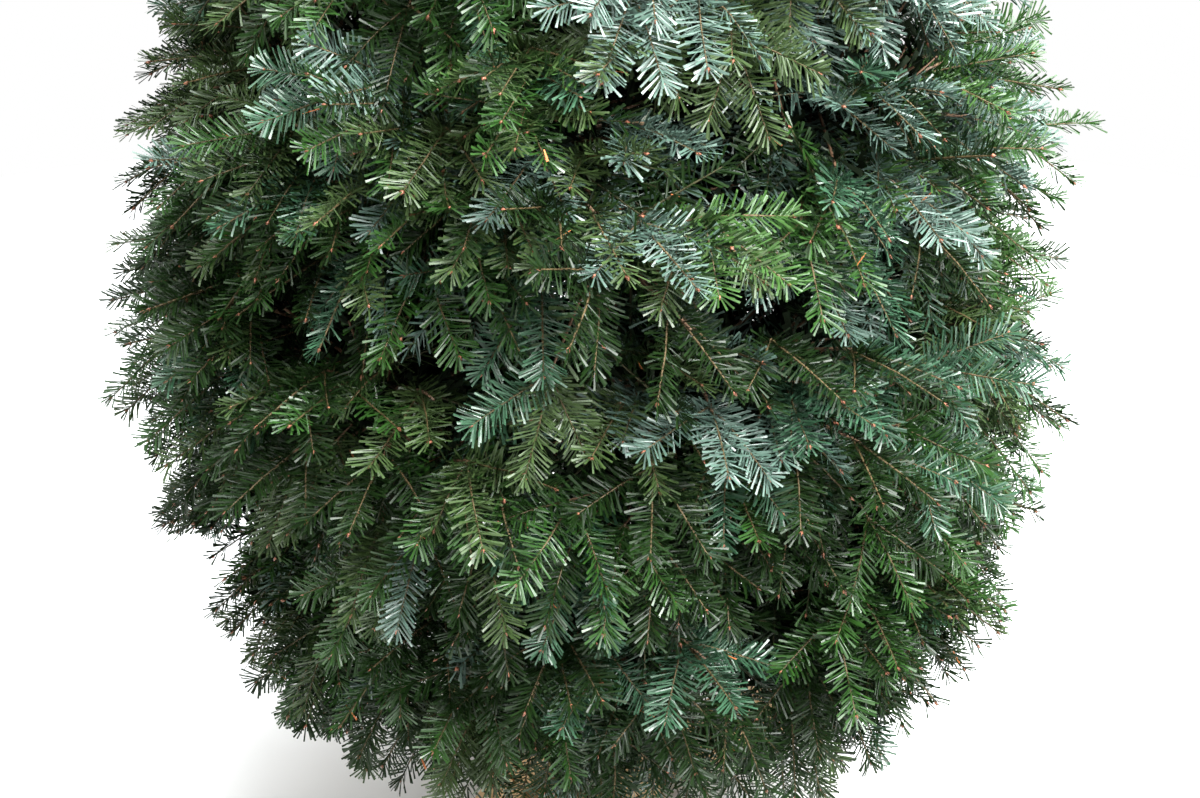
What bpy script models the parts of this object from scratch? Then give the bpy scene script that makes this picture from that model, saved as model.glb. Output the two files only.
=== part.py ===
"""A cut fir Christmas tree, dense and egg-shaped, standing on a plain wooden cross stand.

One trunk runs from the stand to the foot of the leader. Whorls of boughs leave it, and each bough ends
where it enters its own mass of foliage: a dense core with twigs that run out to toothed sprays.
Metres, +Z up. The origin is the middle of the stand's underside.
"""

import math
import random

import bmesh
import bpy
from mathutils import Matrix, Vector

# Driving dimensions
TREE_HEIGHT = 2.00
CROWN_RADIUS = 0.50
CROWN_FOOT = 0.275  # height of the lowest tips
WIDEST_HEIGHT = 0.64  # height at which the crown is widest
CROWN_CURVE = 1.35  # 1 is a straight cone, and more is a fuller crown
FOOT_PINCH = 0.19  # share of the radius lost between the widest height and the lowest tips
CLEARANCE = 0.0003  # gap between pieces that touch

# Stand
BEAM_LENGTH = 0.58
BEAM_WIDTH = 0.075
BEAM_HEIGHT = 0.045
BEAM_ROUNDING = 0.003
STAND_TURN = math.radians(35)
BRACE_WIDTH = 0.028
BRACE_DEPTH = 0.034
BRACE_FOOT = 0.175  # from the trunk's axis to the outer end of a brace's foot
BRACE_RISE = 0.135  # of the brace's top above the beams

# Trunk
TRUNK_FOOT = BEAM_HEIGHT + CLEARANCE
TRUNK_TOP = 1.62
BUTT_RADIUS = 0.039
TRUNK_TOP_RADIUS = 0.0085
BUTT_SWELL = 0.006
TRUNK_SWAY = 0.006
TRUNK_STRAIGHT = 0.01  # at both ends, so that its cuts are level
TRUNK_SIDES = 12
TRUNK_RINGS = 11

# Whorls of boughs, from the lowest up. The top whorl is so short that its foliage starts at the trunk.
WHORLS = (6, 6, 5, 4, 3, 3)
BARE_WHORLS = 5
TIER_RISE = (1.715 - CROWN_FOOT) / len(WHORLS)
FOOT_SLOPE = -0.42
TOP_SLOPE = 0.75
WHORL_TURNS = tuple(math.radians(turn) for turn in (-98, -68, -104, -52, -98, -38))
BOUGH_BARE_SHARE = 0.31  # of the crown's radius, where a bough enters its foliage
BOUGH_ROOT_RADIUS = 0.0095
BOUGH_TIP_RADIUS = 0.0062
BOUGH_THINNING = 0.11  # each whorl's boughs are this much thinner than the one below
BOUGH_SAG = 0.10  # rise of a bough's middle over its straight line, as a share of its length

# Foliage
CORE_REACH = 0.67  # of the crown's radius
CORE_WIDTH = 0.86  # of its space
CORE_HEIGHT = 0.90
CORE_MOST = 0.94  # of its space, for the corners that stand out
CORE_START = 0.014  # beyond the bough's tip
CORE_FULLNESS = 0.55  # 1 is an ellipsoid, and less is boxier
CORE_SPIKES = 0.10  # how far its corners stand out, as a share of its size
CORE_LUMPS = 0.06
STEM_REACH = 0.62  # of the crown's radius
ROWS = (0.12, 0.5, 0.88)  # heights in its tier where a mass has twigs
ROW_FAN = 0.4  # radians that the twigs' climb gains over the height of a tier
SPRAY_HANG = 0.07  # radians that a spray hangs below the slope of its tier
SIDE_FAN = 0.35  # how far twigs spread sideways, as a share of their turn from the bough
CELL = 0.128  # the crown's width that one twig of a row serves
SPRAY_LENGTH = 0.165
SPRAY_WIDTH = 0.118
SPRAY_THICKNESS = 0.012
SPRAY_SPINE = 0.28  # where along its length a spray is thickest
SPRAY_DROOP = 0.010  # of its side teeth under its spine
SPRAY_SIZES = (1.0, 0.85, 0.7)  # tried in turn where a spray is tight
# One side of a spray, from its root to its tip, as shares of its length and its half width:
# a side tooth that points forward, and the notch before the tip.
SPRAY_OUTLINE = ((0.76, 1.0), (0.50, 0.30))
TWIG_WIDTH = 0.008
SPACE_MARGIN = 0.002


def crown_radius(height):
    """How far the crown reaches from the trunk's axis at this height."""
    if height >= WIDEST_HEIGHT:
        share = min(1.0, (height - WIDEST_HEIGHT) / (TREE_HEIGHT - WIDEST_HEIGHT))
        return CROWN_RADIUS * (1 - share**CROWN_CURVE)
    share = (WIDEST_HEIGHT - height) / (WIDEST_HEIGHT - CROWN_FOOT)
    return CROWN_RADIUS * (1 - FOOT_PINCH * share * share)


def rim_height(tier):
    """Height of the lower edge of a tier at the crown's surface. Tier may lie between whole numbers."""
    return CROWN_FOOT + TIER_RISE * tier


def rim_slope(tier):
    """Rise over run of the surface under a tier at its rim: low boughs droop and the highest climb."""
    return FOOT_SLOPE + (TOP_SLOPE - FOOT_SLOPE) * (tier / len(WHORLS)) ** 2


def tier_floor(tier, radius):
    """Height of the surface under a tier: level at the trunk, and arching to its slope at the rim."""
    rim = rim_height(tier)
    reach = crown_radius(rim)
    return rim - rim_slope(tier) * reach / 2 * (1 - (radius / reach) ** 2)


def trunk_centre(height):
    """The trunk's axis sways a little between its ends."""
    low, high = TRUNK_FOOT + TRUNK_STRAIGHT, TRUNK_TOP - TRUNK_STRAIGHT
    share = min(1.0, max(0.0, (height - low) / (high - low)))
    sway = TRUNK_SWAY * math.sin(math.pi * share)
    return Vector((sway * math.sin(math.pi * share), sway * math.sin(math.tau * share), height))


def trunk_radius(height):
    share = (height - TRUNK_FOOT) / (TRUNK_TOP - TRUNK_FOOT)
    swell = BUTT_SWELL * math.exp(-18 * share)
    return BUTT_RADIUS + (TRUNK_TOP_RADIUS - BUTT_RADIUS) * share**0.9 + swell


def outward(bearing, climb=0.0):
    """Unit vector away from the trunk at a bearing, tilted up by climb."""
    level = math.cos(climb)
    return Vector((level * math.cos(bearing), level * math.sin(bearing), math.sin(climb)))


def finish(name, colour, roughness):
    material = bpy.data.materials.new(name)
    material.use_nodes = True
    shader = material.node_tree.nodes["Principled BSDF"]
    shader.inputs["Base Color"].default_value = (*colour, 1.0)
    shader.inputs["Roughness"].default_value = roughness
    shader.inputs["Metallic"].default_value = 0.0
    return material


def new_collection(name):
    collection = bpy.data.collections.new(name)
    bpy.context.scene.collection.children.link(collection)
    return collection


def add_mesh(name, shape, collection, material=None):
    """Makes an object of a bmesh, and frees the bmesh."""
    mesh = bpy.data.meshes.new(name)
    shape.to_mesh(mesh)
    shape.free()
    if material:
        mesh.materials.append(material)
    item = bpy.data.objects.new(name, mesh)
    collection.objects.link(item)
    return item


def evaluated_mesh(item):
    bpy.context.view_layer.update()
    return bpy.data.meshes.new_from_object(item.evaluated_get(bpy.context.evaluated_depsgraph_get()))


def limb(name, line, radii, sides, collection, material=None):
    """A tapering round limb along a line, as a closed mesh."""
    curve = bpy.data.curves.new(name, "CURVE")
    curve.dimensions = "3D"
    curve.twist_mode = "MINIMUM"
    curve.bevel_depth = max(radii)
    curve.bevel_resolution = (sides - 4) // 2
    curve.use_fill_caps = True
    spline = curve.splines.new("POLY")
    spline.points.add(len(line) - 1)
    for point, place, radius in zip(spline.points, line, radii):
        point.co = (*place, 1.0)
        point.radius = radius / max(radii)
    guide = bpy.data.objects.new(name + "_line", curve)
    collection.objects.link(guide)
    mesh = evaluated_mesh(guide)
    bpy.data.objects.remove(guide)
    shape = bmesh.new()
    shape.from_mesh(mesh)
    bmesh.ops.remove_doubles(shape, verts=shape.verts, dist=1e-6)
    bmesh.ops.recalc_face_normals(shape, faces=shape.faces)
    item = add_mesh(name, shape, collection, material)
    item.data.shade_smooth()
    item.data.set_sharp_from_angle(angle=math.radians(50))
    return item


def cut_with(item, cutter):
    cut = item.modifiers.new("cut_clear", "BOOLEAN")
    cut.operation = "DIFFERENCE"
    cut.solver = "EXACT"
    cut.object = cutter


# ---------------------------------------------------------------- stand


def beam_outline(length, width, height):
    shape = bmesh.new()
    bmesh.ops.create_cube(shape, size=1.0)
    bmesh.ops.scale(shape, vec=(length, width, height), verts=shape.verts)
    bmesh.ops.translate(shape, vec=(0, 0, height / 2), verts=shape.verts)
    return shape


def make_beam(name, turn, notch_on_top, parts, cutters, material):
    """One board of the cross, with the half-lap notch that lets it cross the other at the same level."""
    beam = add_mesh(name, beam_outline(BEAM_LENGTH, BEAM_WIDTH, BEAM_HEIGHT), parts, material)
    beam.rotation_euler.z = turn
    notch = add_mesh(
        name + "_notch",
        beam_outline(BEAM_WIDTH + 2 * CLEARANCE, 2 * BEAM_WIDTH, BEAM_HEIGHT),
        cutters,
    )
    notch.rotation_euler.z = turn
    half = BEAM_HEIGHT / 2
    notch.location.z = half - CLEARANCE / 2 if notch_on_top else -half + CLEARANCE / 2
    cut_with(beam, notch)
    rounding = beam.modifiers.new("rounding", "BEVEL")
    rounding.width = BEAM_ROUNDING
    rounding.segments = 1
    rounding.limit_method = "ANGLE"
    return beam


def make_brace(number, turn, trunk_cutter, parts, material):
    """A slanting wooden strut from a beam to the trunk, mitred to lie flat on both."""
    foot = BEAM_HEIGHT + CLEARANCE
    top = foot + BRACE_RISE
    outline = (
        (BRACE_FOOT, foot),
        (0.0, top + BRACE_DEPTH),
        (0.0, top - BRACE_DEPTH * 0.2),
        (BRACE_FOOT - 1.5 * BRACE_DEPTH, foot),
    )
    curve = bpy.data.curves.new(f"brace_{number}", "CURVE")
    curve.dimensions = "2D"
    curve.fill_mode = "BOTH"
    curve.extrude = BRACE_WIDTH / 2
    spline = curve.splines.new("POLY")
    spline.use_cyclic_u = True
    spline.points.add(len(outline) - 1)
    for point, (along, up) in zip(spline.points, outline):
        point.co = (along, up, 0.0, 1.0)
    guide = bpy.data.objects.new("brace_outline", curve)
    parts.objects.link(guide)
    mesh = evaluated_mesh(guide)
    bpy.data.objects.remove(guide)
    shape = bmesh.new()
    shape.from_mesh(mesh)
    bmesh.ops.remove_doubles(shape, verts=shape.verts, dist=1e-6)
    bmesh.ops.rotate(shape, matrix=Matrix.Rotation(math.pi / 2, 3, "X"), verts=shape.verts)
    bmesh.ops.recalc_face_normals(shape, faces=shape.faces)
    brace = add_mesh(f"stand_brace_{number}", shape, parts, material)
    brace.rotation_euler.z = turn
    cut_with(brace, trunk_cutter)
    return brace


def make_stand(parts, cutters, trunk_cutter):
    pine = finish("pine_boards", (0.56, 0.38, 0.20), 0.6)
    make_beam("stand_beam_lower", STAND_TURN, True, parts, cutters, pine)
    make_beam("stand_beam_upper", STAND_TURN + math.pi / 2, False, parts, cutters, pine)
    for number in range(4):
        make_brace(number + 1, STAND_TURN + number * math.pi / 2, trunk_cutter, parts, pine)


# ---------------------------------------------------------------- trunk and boughs


def make_trunk(name, extra_radius, collection, material=None):
    low, high = TRUNK_FOOT + TRUNK_STRAIGHT, TRUNK_TOP - TRUNK_STRAIGHT
    between = [low + (high - low) * ring / (TRUNK_RINGS - 3) for ring in range(TRUNK_RINGS - 2)]
    heights = [TRUNK_FOOT, *between, TRUNK_TOP]
    line = [trunk_centre(height) for height in heights]
    radii = [trunk_radius(height) + extra_radius for height in heights]
    return limb(name, line, radii, TRUNK_SIDES, collection, material)


def bough_bearing(whorl, number):
    return WHORL_TURNS[whorl] + number * math.tau / WHORLS[whorl]


def bough_end(whorl, bearing):
    """Where a bough's tip meets its foliage."""
    radius = BOUGH_BARE_SHARE * crown_radius(rim_height(whorl + 0.5))
    height = (tier_floor(whorl, radius) + tier_floor(whorl + 1, radius)) / 2
    return outward(bearing) * radius + Vector((0, 0, height))


def bough_root(whorl, bearing):
    """Where a bough leaves the trunk: its line starts at the trunk's axis."""
    height = (tier_floor(whorl, 0.0) + tier_floor(whorl + 1, 0.0)) / 2
    return trunk_centre(height)


def bough_line(whorl, bearing):
    root = bough_root(whorl, bearing)
    end = bough_end(whorl, bearing)
    rise = Vector((0, 0, BOUGH_SAG * (end - root).length))
    steps = 3
    return [root.lerp(end, i / steps) + rise * math.sin(math.pi * i / steps) for i in range(steps + 1)]


def bough_radius(whorl, share):
    thinning = 1 - BOUGH_THINNING * whorl
    return thinning * (BOUGH_ROOT_RADIUS + (BOUGH_TIP_RADIUS - BOUGH_ROOT_RADIUS) * share)


def make_bough(whorl, number, trunk_cutter, parts, material):
    line = bough_line(whorl, bough_bearing(whorl, number))
    radii = [bough_radius(whorl, i / (len(line) - 1)) for i in range(len(line))]
    bough = limb(f"bough_{whorl + 1}_{number + 1}", line, radii, 6, parts, material)
    cut_with(bough, trunk_cutter)
    return bough


# ---------------------------------------------------------------- foliage


class Space:
    """The share of the crown that one mass of foliage keeps to: one bough's sector of its tier."""

    def __init__(self, whorl, number):
        self.whorl = whorl
        self.number = number
        self.bearing = bough_bearing(whorl, number)
        self.half_angle = math.pi / WHORLS[whorl]
        self.reach = crown_radius(rim_height(whorl + 0.5))
        self.columns = max(3, round(2 * self.half_angle * self.reach / CELL))

    def holds(self, point):
        radius = math.hypot(point.x, point.y)
        if radius < 0.5 * BOUGH_BARE_SHARE * self.reach:
            return False
        turn = math.remainder(math.atan2(point.y, point.x) - self.bearing, math.tau)
        if abs(turn) > self.half_angle - SPACE_MARGIN / radius:
            return False
        low = tier_floor(self.whorl, radius) + SPACE_MARGIN
        high = tier_floor(self.whorl + 1, radius) - SPACE_MARGIN
        return low < point.z < high


class TopSpace:
    """The space over the highest whorl, round the leader."""

    def holds(self, point):
        lowest = max(TRUNK_TOP, tier_floor(len(WHORLS), math.hypot(point.x, point.y)))
        return point.z > lowest + SPACE_MARGIN


def climb_at(tier):
    """How far a spray points above the level."""
    return math.atan(rim_slope(tier)) - SPRAY_HANG


def twigs_of(space):
    """Yields each twig of a mass as (place along the stem, tip, direction at the tip), by a seeded rule."""
    seed = random.Random(1000 + 20 * space.whorl + space.number)
    edge = 1 - 0.55 * SPRAY_WIDTH / (space.reach * space.half_angle)
    for row, up in enumerate(ROWS):
        count = space.columns - row % 2
        for column in range(count):
            across = edge * (2 * (column + 0.5 * (row % 2)) / (space.columns - 1) - 1)
            across += seed.uniform(-0.04, 0.04)
            level = up + seed.uniform(-0.05, 0.05)
            bearing = space.bearing + space.half_angle * across
            height = rim_height(space.whorl + level)
            tip = outward(bearing) * crown_radius(height) * seed.uniform(0.93, 1.05)
            tip.z = height
            turn = SIDE_FAN * space.half_angle * across + seed.uniform(-0.17, 0.17)
            climb = climb_at(space.whorl + level) + ROW_FAN * (level - 0.5) + seed.uniform(-0.12, 0.12)
            yield seed.uniform(0.3, 0.95), tip, outward(bearing + turn, climb)


def top_twigs():
    """Yields the leader's own spray, then the short twigs round it, lowest first."""
    seed = random.Random(77)
    yield 0.75, Vector((0, 0, TREE_HEIGHT)), Vector((0, 0, 1))
    for height, count, climb in ((1.745, 5, 0.55), (1.835, 4, 0.72), (1.915, 3, 0.9)):
        for number in range(count):
            bearing = 9 * height + number * math.tau / count + seed.uniform(-0.15, 0.15)
            tip = outward(bearing) * (crown_radius(height) * seed.uniform(0.92, 1.05) + 0.01)
            tip.z = height + seed.uniform(-0.012, 0.02)
            place = (height - 0.9 * math.hypot(tip.x, tip.y) - TRUNK_TOP) / (TREE_HEIGHT - TRUNK_TOP)
            yield max(0.08, place), tip, outward(bearing, climb + seed.uniform(-0.1, 0.1))


def facing(direction, roll):
    """Axes of a spray: along it, across it and out of its upper face, rolled a little."""
    along = direction.normalized()
    side = Vector((0, 0, 1)).cross(along)
    if side.length < 0.2:
        side = Vector((0, 1, 0))
    side.normalize()
    turn = Matrix.Rotation(roll, 3, along)
    side = turn @ side
    return Matrix((along, side, along.cross(side))).transposed()


def spray_points(start, tip, axes, size):
    """A spray in place on its twig: the outline, round from the twig's start, and the two middles."""
    along, across, out = axes.col
    length, half_width = SPRAY_LENGTH * size, SPRAY_WIDTH * size / 2
    middle = tip - along * length * (1 - SPRAY_SPINE)
    twig = (start - middle).normalized()
    twig_end = middle + twig * length * SPRAY_SPINE
    twig_side = twig.cross(out).normalized() * TWIG_WIDTH / 2
    half = []
    for forward, share in SPRAY_OUTLINE:
        place = tip - along * length * (1 - forward) - out * SPRAY_DROOP * share * size
        half.append((place, across * half_width * share))
    left = [place + side for place, side in half]
    right = [place - side for place, side in half]
    rim = [start, twig_end - twig_side, *right, tip, *reversed(left), twig_end + twig_side]
    return rim, [middle + out * SPRAY_THICKNESS * size * side for side in (0.5, -0.5)]


def add_spray(name, rim, middles, collection):
    """A toothed blade: a flat ball with as many corners round it as its outline has, drawn out to them."""
    upper, under = middles
    shape = bmesh.new()
    bmesh.ops.create_uvsphere(shape, u_segments=len(rim), v_segments=2, radius=1.0)
    for vertex in shape.verts:
        if abs(vertex.co.z) > 0.5:
            vertex.co = upper if vertex.co.z > 0 else under
        else:
            vertex.co = rim[round(math.atan2(vertex.co.y, vertex.co.x) / math.tau * len(rim))]
    return add_mesh(name, shape, collection)


def add_core(name, space, collection, material):
    """The dense inside of a mass: a boxy, spiky ball that fills the middle of its space."""
    lumps = random.Random(500 + 20 * space.whorl + space.number)
    inner = BOUGH_BARE_SHARE * space.reach + CORE_START
    shape = bmesh.new()
    bmesh.ops.create_icosphere(shape, subdivisions=2, radius=1.0)
    for vertex in shape.verts:
        spike = CORE_SPIKES if len(vertex.link_edges) == 5 else 0.0
        swell = 1 + spike + lumps.uniform(-CORE_LUMPS, CORE_LUMPS)
        out, across, up = (math.copysign(abs(value) ** CORE_FULLNESS, value) * swell for value in vertex.co)
        level = 0.5 + 0.5 * max(-CORE_MOST, min(CORE_MOST, CORE_HEIGHT * up))
        outer = CORE_REACH * crown_radius(rim_height(space.whorl + level))
        radius = inner + (outer - inner) * max(0.0, out + 1) / 2
        low, high = tier_floor(space.whorl, radius), tier_floor(space.whorl + 1, radius)
        turn = max(-CORE_MOST, min(CORE_MOST, CORE_WIDTH * across))
        bearing = space.bearing + space.half_angle * turn
        vertex.co = outward(bearing) * radius + Vector((0, 0, low + (high - low) * level))
    return add_mesh(name, shape, collection, material)


def largest_body(mesh):
    """Drops every loose scrap and sealed hollow, so that one closed body is left."""
    shape = bmesh.new()
    shape.from_mesh(mesh)
    bmesh.ops.triangulate(shape, faces=shape.faces)
    bmesh.ops.dissolve_degenerate(shape, dist=2e-6, edges=shape.edges)
    bmesh.ops.triangulate(shape, faces=shape.faces)
    left, bodies = set(shape.verts), []
    while left:
        body, edge = set(), [left.pop()]
        while edge:
            vertex = edge.pop()
            body.add(vertex)
            near = {link.other_vert(vertex) for link in vertex.link_edges} & left
            left -= near
            edge.extend(near)
        bodies.append(body)
    keep = max(bodies, key=len)
    bmesh.ops.delete(shape, geom=[v for v in shape.verts if v not in keep], context="VERTS")
    shape.to_mesh(mesh)
    shape.free()


def fuse(core, growth):
    """Joins everything in the growth collection to the core, and empties the collection."""
    union = core.modifiers.new("fuse", "BOOLEAN")
    union.operation = "UNION"
    union.operand_type = "COLLECTION"
    union.collection = growth
    union.solver = "MANIFOLD"
    mesh = evaluated_mesh(core)
    core.modifiers.remove(union)
    old = core.data
    core.data = mesh
    bpy.data.meshes.remove(old)
    largest_body(mesh)
    for item in list(growth.objects):
        bpy.data.objects.remove(item)


def grow_sprays(space, twigs, stem, growth, seed):
    """Adds each twig and the spray that ends it: smaller where it is tight, and left out where none fits."""
    for number, (place, tip, direction) in enumerate(twigs):
        start = stem[0].lerp(stem[1], place)
        axes = facing(direction, seed.uniform(-0.35, 0.35))
        largest = min(1.0, 0.9 * (tip - start).length / SPRAY_LENGTH)
        for size in SPRAY_SIZES:
            rim, middles = spray_points(start, tip, axes, size * largest)
            if all(space.holds(point) for point in rim[1:] + middles):
                add_spray(f"spray_{number}", rim, middles, growth)
                break


def make_foliage(whorl, number, trunk_cutter, parts, growth, material):
    """One mass: a stem that carries on from its bough, its core, and its twigs and sprays."""
    space = Space(whorl, number)
    core = add_core(f"foliage_{whorl + 1}_{number + 1}", space, parts, material)
    line = bough_line(whorl, space.bearing)
    heading = (line[-1] - line[-2]).normalized()
    on_trunk = whorl >= BARE_WHORLS
    root = line[0] if on_trunk else line[-1] + heading * CLEARANCE
    radius = STEM_REACH * space.reach
    end = outward(space.bearing) * radius
    end.z = (tier_floor(whorl, radius) + tier_floor(whorl + 1, radius)) / 2
    thickness = bough_radius(whorl, 1.0)
    stem = [root, root + heading * 0.02, end]
    limb("stem", stem, [thickness, thickness, 0.8 * thickness], 6, growth)
    grow_sprays(space, twigs_of(space), stem[1:], growth, random.Random(3000 + 20 * whorl + number))
    fuse(core, growth)
    if on_trunk:
        cut_with(core, trunk_cutter)
    return core


def make_leader(parts, growth, material):
    """The leader over the trunk's tip, with its own short twigs."""
    foot = Vector((0, 0, TRUNK_TOP + CLEARANCE))
    top = Vector((0, 0, TREE_HEIGHT - SPRAY_LENGTH * 0.4))
    radii = [TRUNK_TOP_RADIUS, 0.8 * TRUNK_TOP_RADIUS, 0.55 * TRUNK_TOP_RADIUS]
    leader = limb("foliage_leader", [foot, foot.lerp(top, 0.5), top], radii, 6, parts, material)
    grow_sprays(TopSpace(), top_twigs(), [foot, top], growth, random.Random(99))
    fuse(leader, growth)
    return leader


def main():
    for item in list(bpy.data.objects):
        bpy.data.objects.remove(item)
    parts = new_collection("christmas_tree")
    cutters = new_collection("cutters")
    growth = new_collection("growth")

    bark = finish("trunk_bark", (0.23, 0.18, 0.14), 0.9)
    bough_bark = finish("bough_bark", (0.30, 0.21, 0.13), 0.85)
    needles = finish("needles", (0.06, 0.14, 0.07), 0.5)
    trunk_cutter = make_trunk("trunk_clearance", CLEARANCE, cutters)
    make_trunk("trunk", 0.0, parts, bark)
    make_stand(parts, cutters, trunk_cutter)

    for whorl, count in enumerate(WHORLS):
        for number in range(count):
            if whorl < BARE_WHORLS:
                make_bough(whorl, number, trunk_cutter, parts, bough_bark)
            make_foliage(whorl, number, trunk_cutter, parts, growth, needles)
    make_leader(parts, growth, needles)

    bpy.data.collections.remove(growth)
    for cutter in cutters.objects:
        cutter.hide_render = True
        cutter.display_type = "WIRE"


main()
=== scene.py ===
"""A cut fir Christmas tree on a plain cross stand: the looks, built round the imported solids."""

import math
import random
from typing import NamedTuple

import bpy
import numpy as np
from mathutils import Matrix, Vector


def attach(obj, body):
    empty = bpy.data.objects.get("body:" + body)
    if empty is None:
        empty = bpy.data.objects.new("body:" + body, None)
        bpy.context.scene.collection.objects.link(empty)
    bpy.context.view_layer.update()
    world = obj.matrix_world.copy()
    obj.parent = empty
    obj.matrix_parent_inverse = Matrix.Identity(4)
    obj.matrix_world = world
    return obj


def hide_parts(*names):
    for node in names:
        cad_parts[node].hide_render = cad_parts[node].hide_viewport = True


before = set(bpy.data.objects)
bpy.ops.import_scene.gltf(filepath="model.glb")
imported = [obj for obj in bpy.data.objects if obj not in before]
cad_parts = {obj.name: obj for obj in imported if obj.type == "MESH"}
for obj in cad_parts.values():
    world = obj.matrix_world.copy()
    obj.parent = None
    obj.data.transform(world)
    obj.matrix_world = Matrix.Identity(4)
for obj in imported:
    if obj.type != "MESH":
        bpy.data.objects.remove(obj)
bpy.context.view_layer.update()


# ---------------------------------------------------------------- stand boards and braces
# Two planed pine boards, half-lapped into a cross, and four mitred pine braces that hold the trunk upright.
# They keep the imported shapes, and get sawn softwood: long growth lines on the faces, arcs on the ends, and
# a few knots in the boards.

STAND_TURN = math.radians(35)
BEAM_HEIGHT = 0.045
BRACE_SLOPE = math.atan2(0.169, -0.175)
EARLY_WOOD = (0.62, 0.42, 0.22, 1.0)
LATE_WOOD = (0.40, 0.22, 0.09, 1.0)
WEATHERED_WOOD = (0.46, 0.34, 0.22, 1.0)
KNOT_WOOD = (0.16, 0.075, 0.03, 1.0)
RING_SPACING = 0.0042
HEART_DEPTH = 0.06  # of the log's heart under the middle of a board
KNOT_STRETCH = 1.7  # along the grain
KNOTS = (((-0.17, 0.018), 0.010), ((0.09, -0.021), 0.007), ((0.235, 0.012), 0.008))  # (place, radius)


class Signal:
    """One socket in a material. Arithmetic on signals adds Math nodes, and any other node comes from add."""

    def __init__(self, tree, socket=None):
        self.tree = tree
        self.socket = socket

    def add(self, kind, settings=None, sockets=None, out=0):
        """Any node: its settings are set first, then each socket gets a value or a link."""
        node = self.tree.nodes.new(kind)
        for name, value in (settings or {}).items():
            setattr(node, name, value)
        for key, value in (sockets or {}).items():
            if isinstance(value, Signal):
                self.tree.links.new(value.socket, node.inputs[key])
            else:
                node.inputs[key].default_value = value
        return Signal(self.tree, node.outputs[out])

    def math(self, operation, *others):
        return self.add("ShaderNodeMath", {"operation": operation}, dict(enumerate((self, *others))))

    def __add__(self, other):
        return self.math("ADD", other)

    def __radd__(self, other):
        return self.math("ADD", other)

    def __sub__(self, other):
        return self.math("SUBTRACT", other)

    def __rsub__(self, other):
        return self.add("ShaderNodeMath", {"operation": "SUBTRACT"}, {0: other, 1: self})

    def __mul__(self, other):
        return self.math("MULTIPLY", other)

    def __rmul__(self, other):
        return self.math("MULTIPLY", other)

    def __truediv__(self, other):
        return self.math("DIVIDE", other)

    def __pow__(self, other):
        return self.math("POWER", other)

    def between(self, low, high):
        """0 below low and 1 above high, with a smooth step."""
        settings = {"interpolation_type": "SMOOTHSTEP", "clamp": True}
        return self.add("ShaderNodeMapRange", settings, {0: self, 1: low, 2: high, 3: 0.0, 4: 1.0})

    def choose(self, first, second):
        """The first colour where this is 0, and the second where it is 1."""
        settings = {"data_type": "RGBA", "blend_type": "MIX"}
        return self.add("ShaderNodeMix", settings, {0: self, 6: first, 7: second}, out=2)

    def noise(self, scale, detail=3.0, roughness=0.5):
        """Noise at these coordinates."""
        sockets = {"Vector": self, "Scale": scale, "Detail": detail, "Roughness": roughness}
        return self.add("ShaderNodeTexNoise", None, sockets)

    def placed(self, rotation=(0.0, 0.0, 0.0), scale=(1.0, 1.0, 1.0), location=(0.0, 0.0, 0.0)):
        """These coordinates turned, scaled and shifted."""
        sockets = {"Vector": self, "Location": location, "Rotation": rotation, "Scale": scale}
        return self.add("ShaderNodeMapping", {"vector_type": "POINT"}, sockets)


def new_material(name, roughness=0.5, specular=0.5):
    """A material with a Principled shader: its constants are set on the shader's own sockets."""
    material = bpy.data.materials.new(name)
    material.use_nodes = True
    shader = material.node_tree.nodes["Principled BSDF"]
    shader.inputs["Roughness"].default_value = roughness
    shader.inputs["Specular IOR Level"].default_value = specular
    start = Signal(material.node_tree)
    return material, shader, start


def connect(shader, **sockets):
    """Links signals to the shader's sockets, named with _ for each space."""
    for name, signal in sockets.items():
        signal.tree.links.new(signal.socket, shader.inputs[name.replace("_", " ")])


def pine(name, turn, slope, shift, knots):
    """Sawn pine whose grain runs along a piece that is turned about the trunk, then sloped."""
    material, shader, start = new_material(name, specular=0.35)
    place = start.add("ShaderNodeTexCoord", out=3)
    level = place.placed(rotation=(0.0, 0.0, -turn))
    along = level.placed(rotation=(0.0, slope, 0.0), location=shift)
    axes = [along.add("ShaderNodeSeparateXYZ", None, {0: along}, out=axis) for axis in range(3)]
    wander = along.placed(scale=(3.0, 16.0, 16.0)).noise(1.0, 2.0)
    fine = along.placed(scale=(26.0, 900.0, 900.0)).noise(1.0, 3.0, 0.6)
    knot_mask = None
    bulge = None
    for (x, y), size in knots:
        distance = (((axes[0] - x) / KNOT_STRETCH) ** 2.0 + (axes[1] - y) ** 2.0).math("SQRT") / size
        near = 1.0 - distance.between(0.75, 1.15)
        push = 1.0 - distance.between(0.4, 3.4)
        knot_mask = near if knot_mask is None else knot_mask.math("MAXIMUM", near)
        bulge = push if bulge is None else bulge.math("MAXIMUM", push)
    depth = (axes[1] * axes[1] + (axes[2] + HEART_DEPTH) * (axes[2] + HEART_DEPTH)).math("SQRT")
    rings = depth / RING_SPACING + wander * 2.6
    if bulge is not None:
        rings = rings + bulge * 2.2
    within = rings.math("FRACT")
    late = within.between(0.45, 0.93) * (1.0 - within).between(0.0, 0.05)
    board = late.choose(EARLY_WOOD, LATE_WOOD)
    board = (fine.between(0.52, 0.72) * 0.35).choose(board, LATE_WOOD)
    board = (wander.between(0.45, 0.8) * 0.4).choose(board, WEATHERED_WOOD)
    if knot_mask is not None:
        board = (knot_mask * 0.9).choose(board, KNOT_WOOD)
    height = late * -0.35 + fine * 0.5
    bump = start.add("ShaderNodeBump", None, {"Strength": 0.35, "Distance": 0.0006, "Height": height})
    connect(shader, Base_Color=board, Roughness=0.52 + late * 0.14 + fine * 0.1, Normal=bump)
    return material


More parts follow.
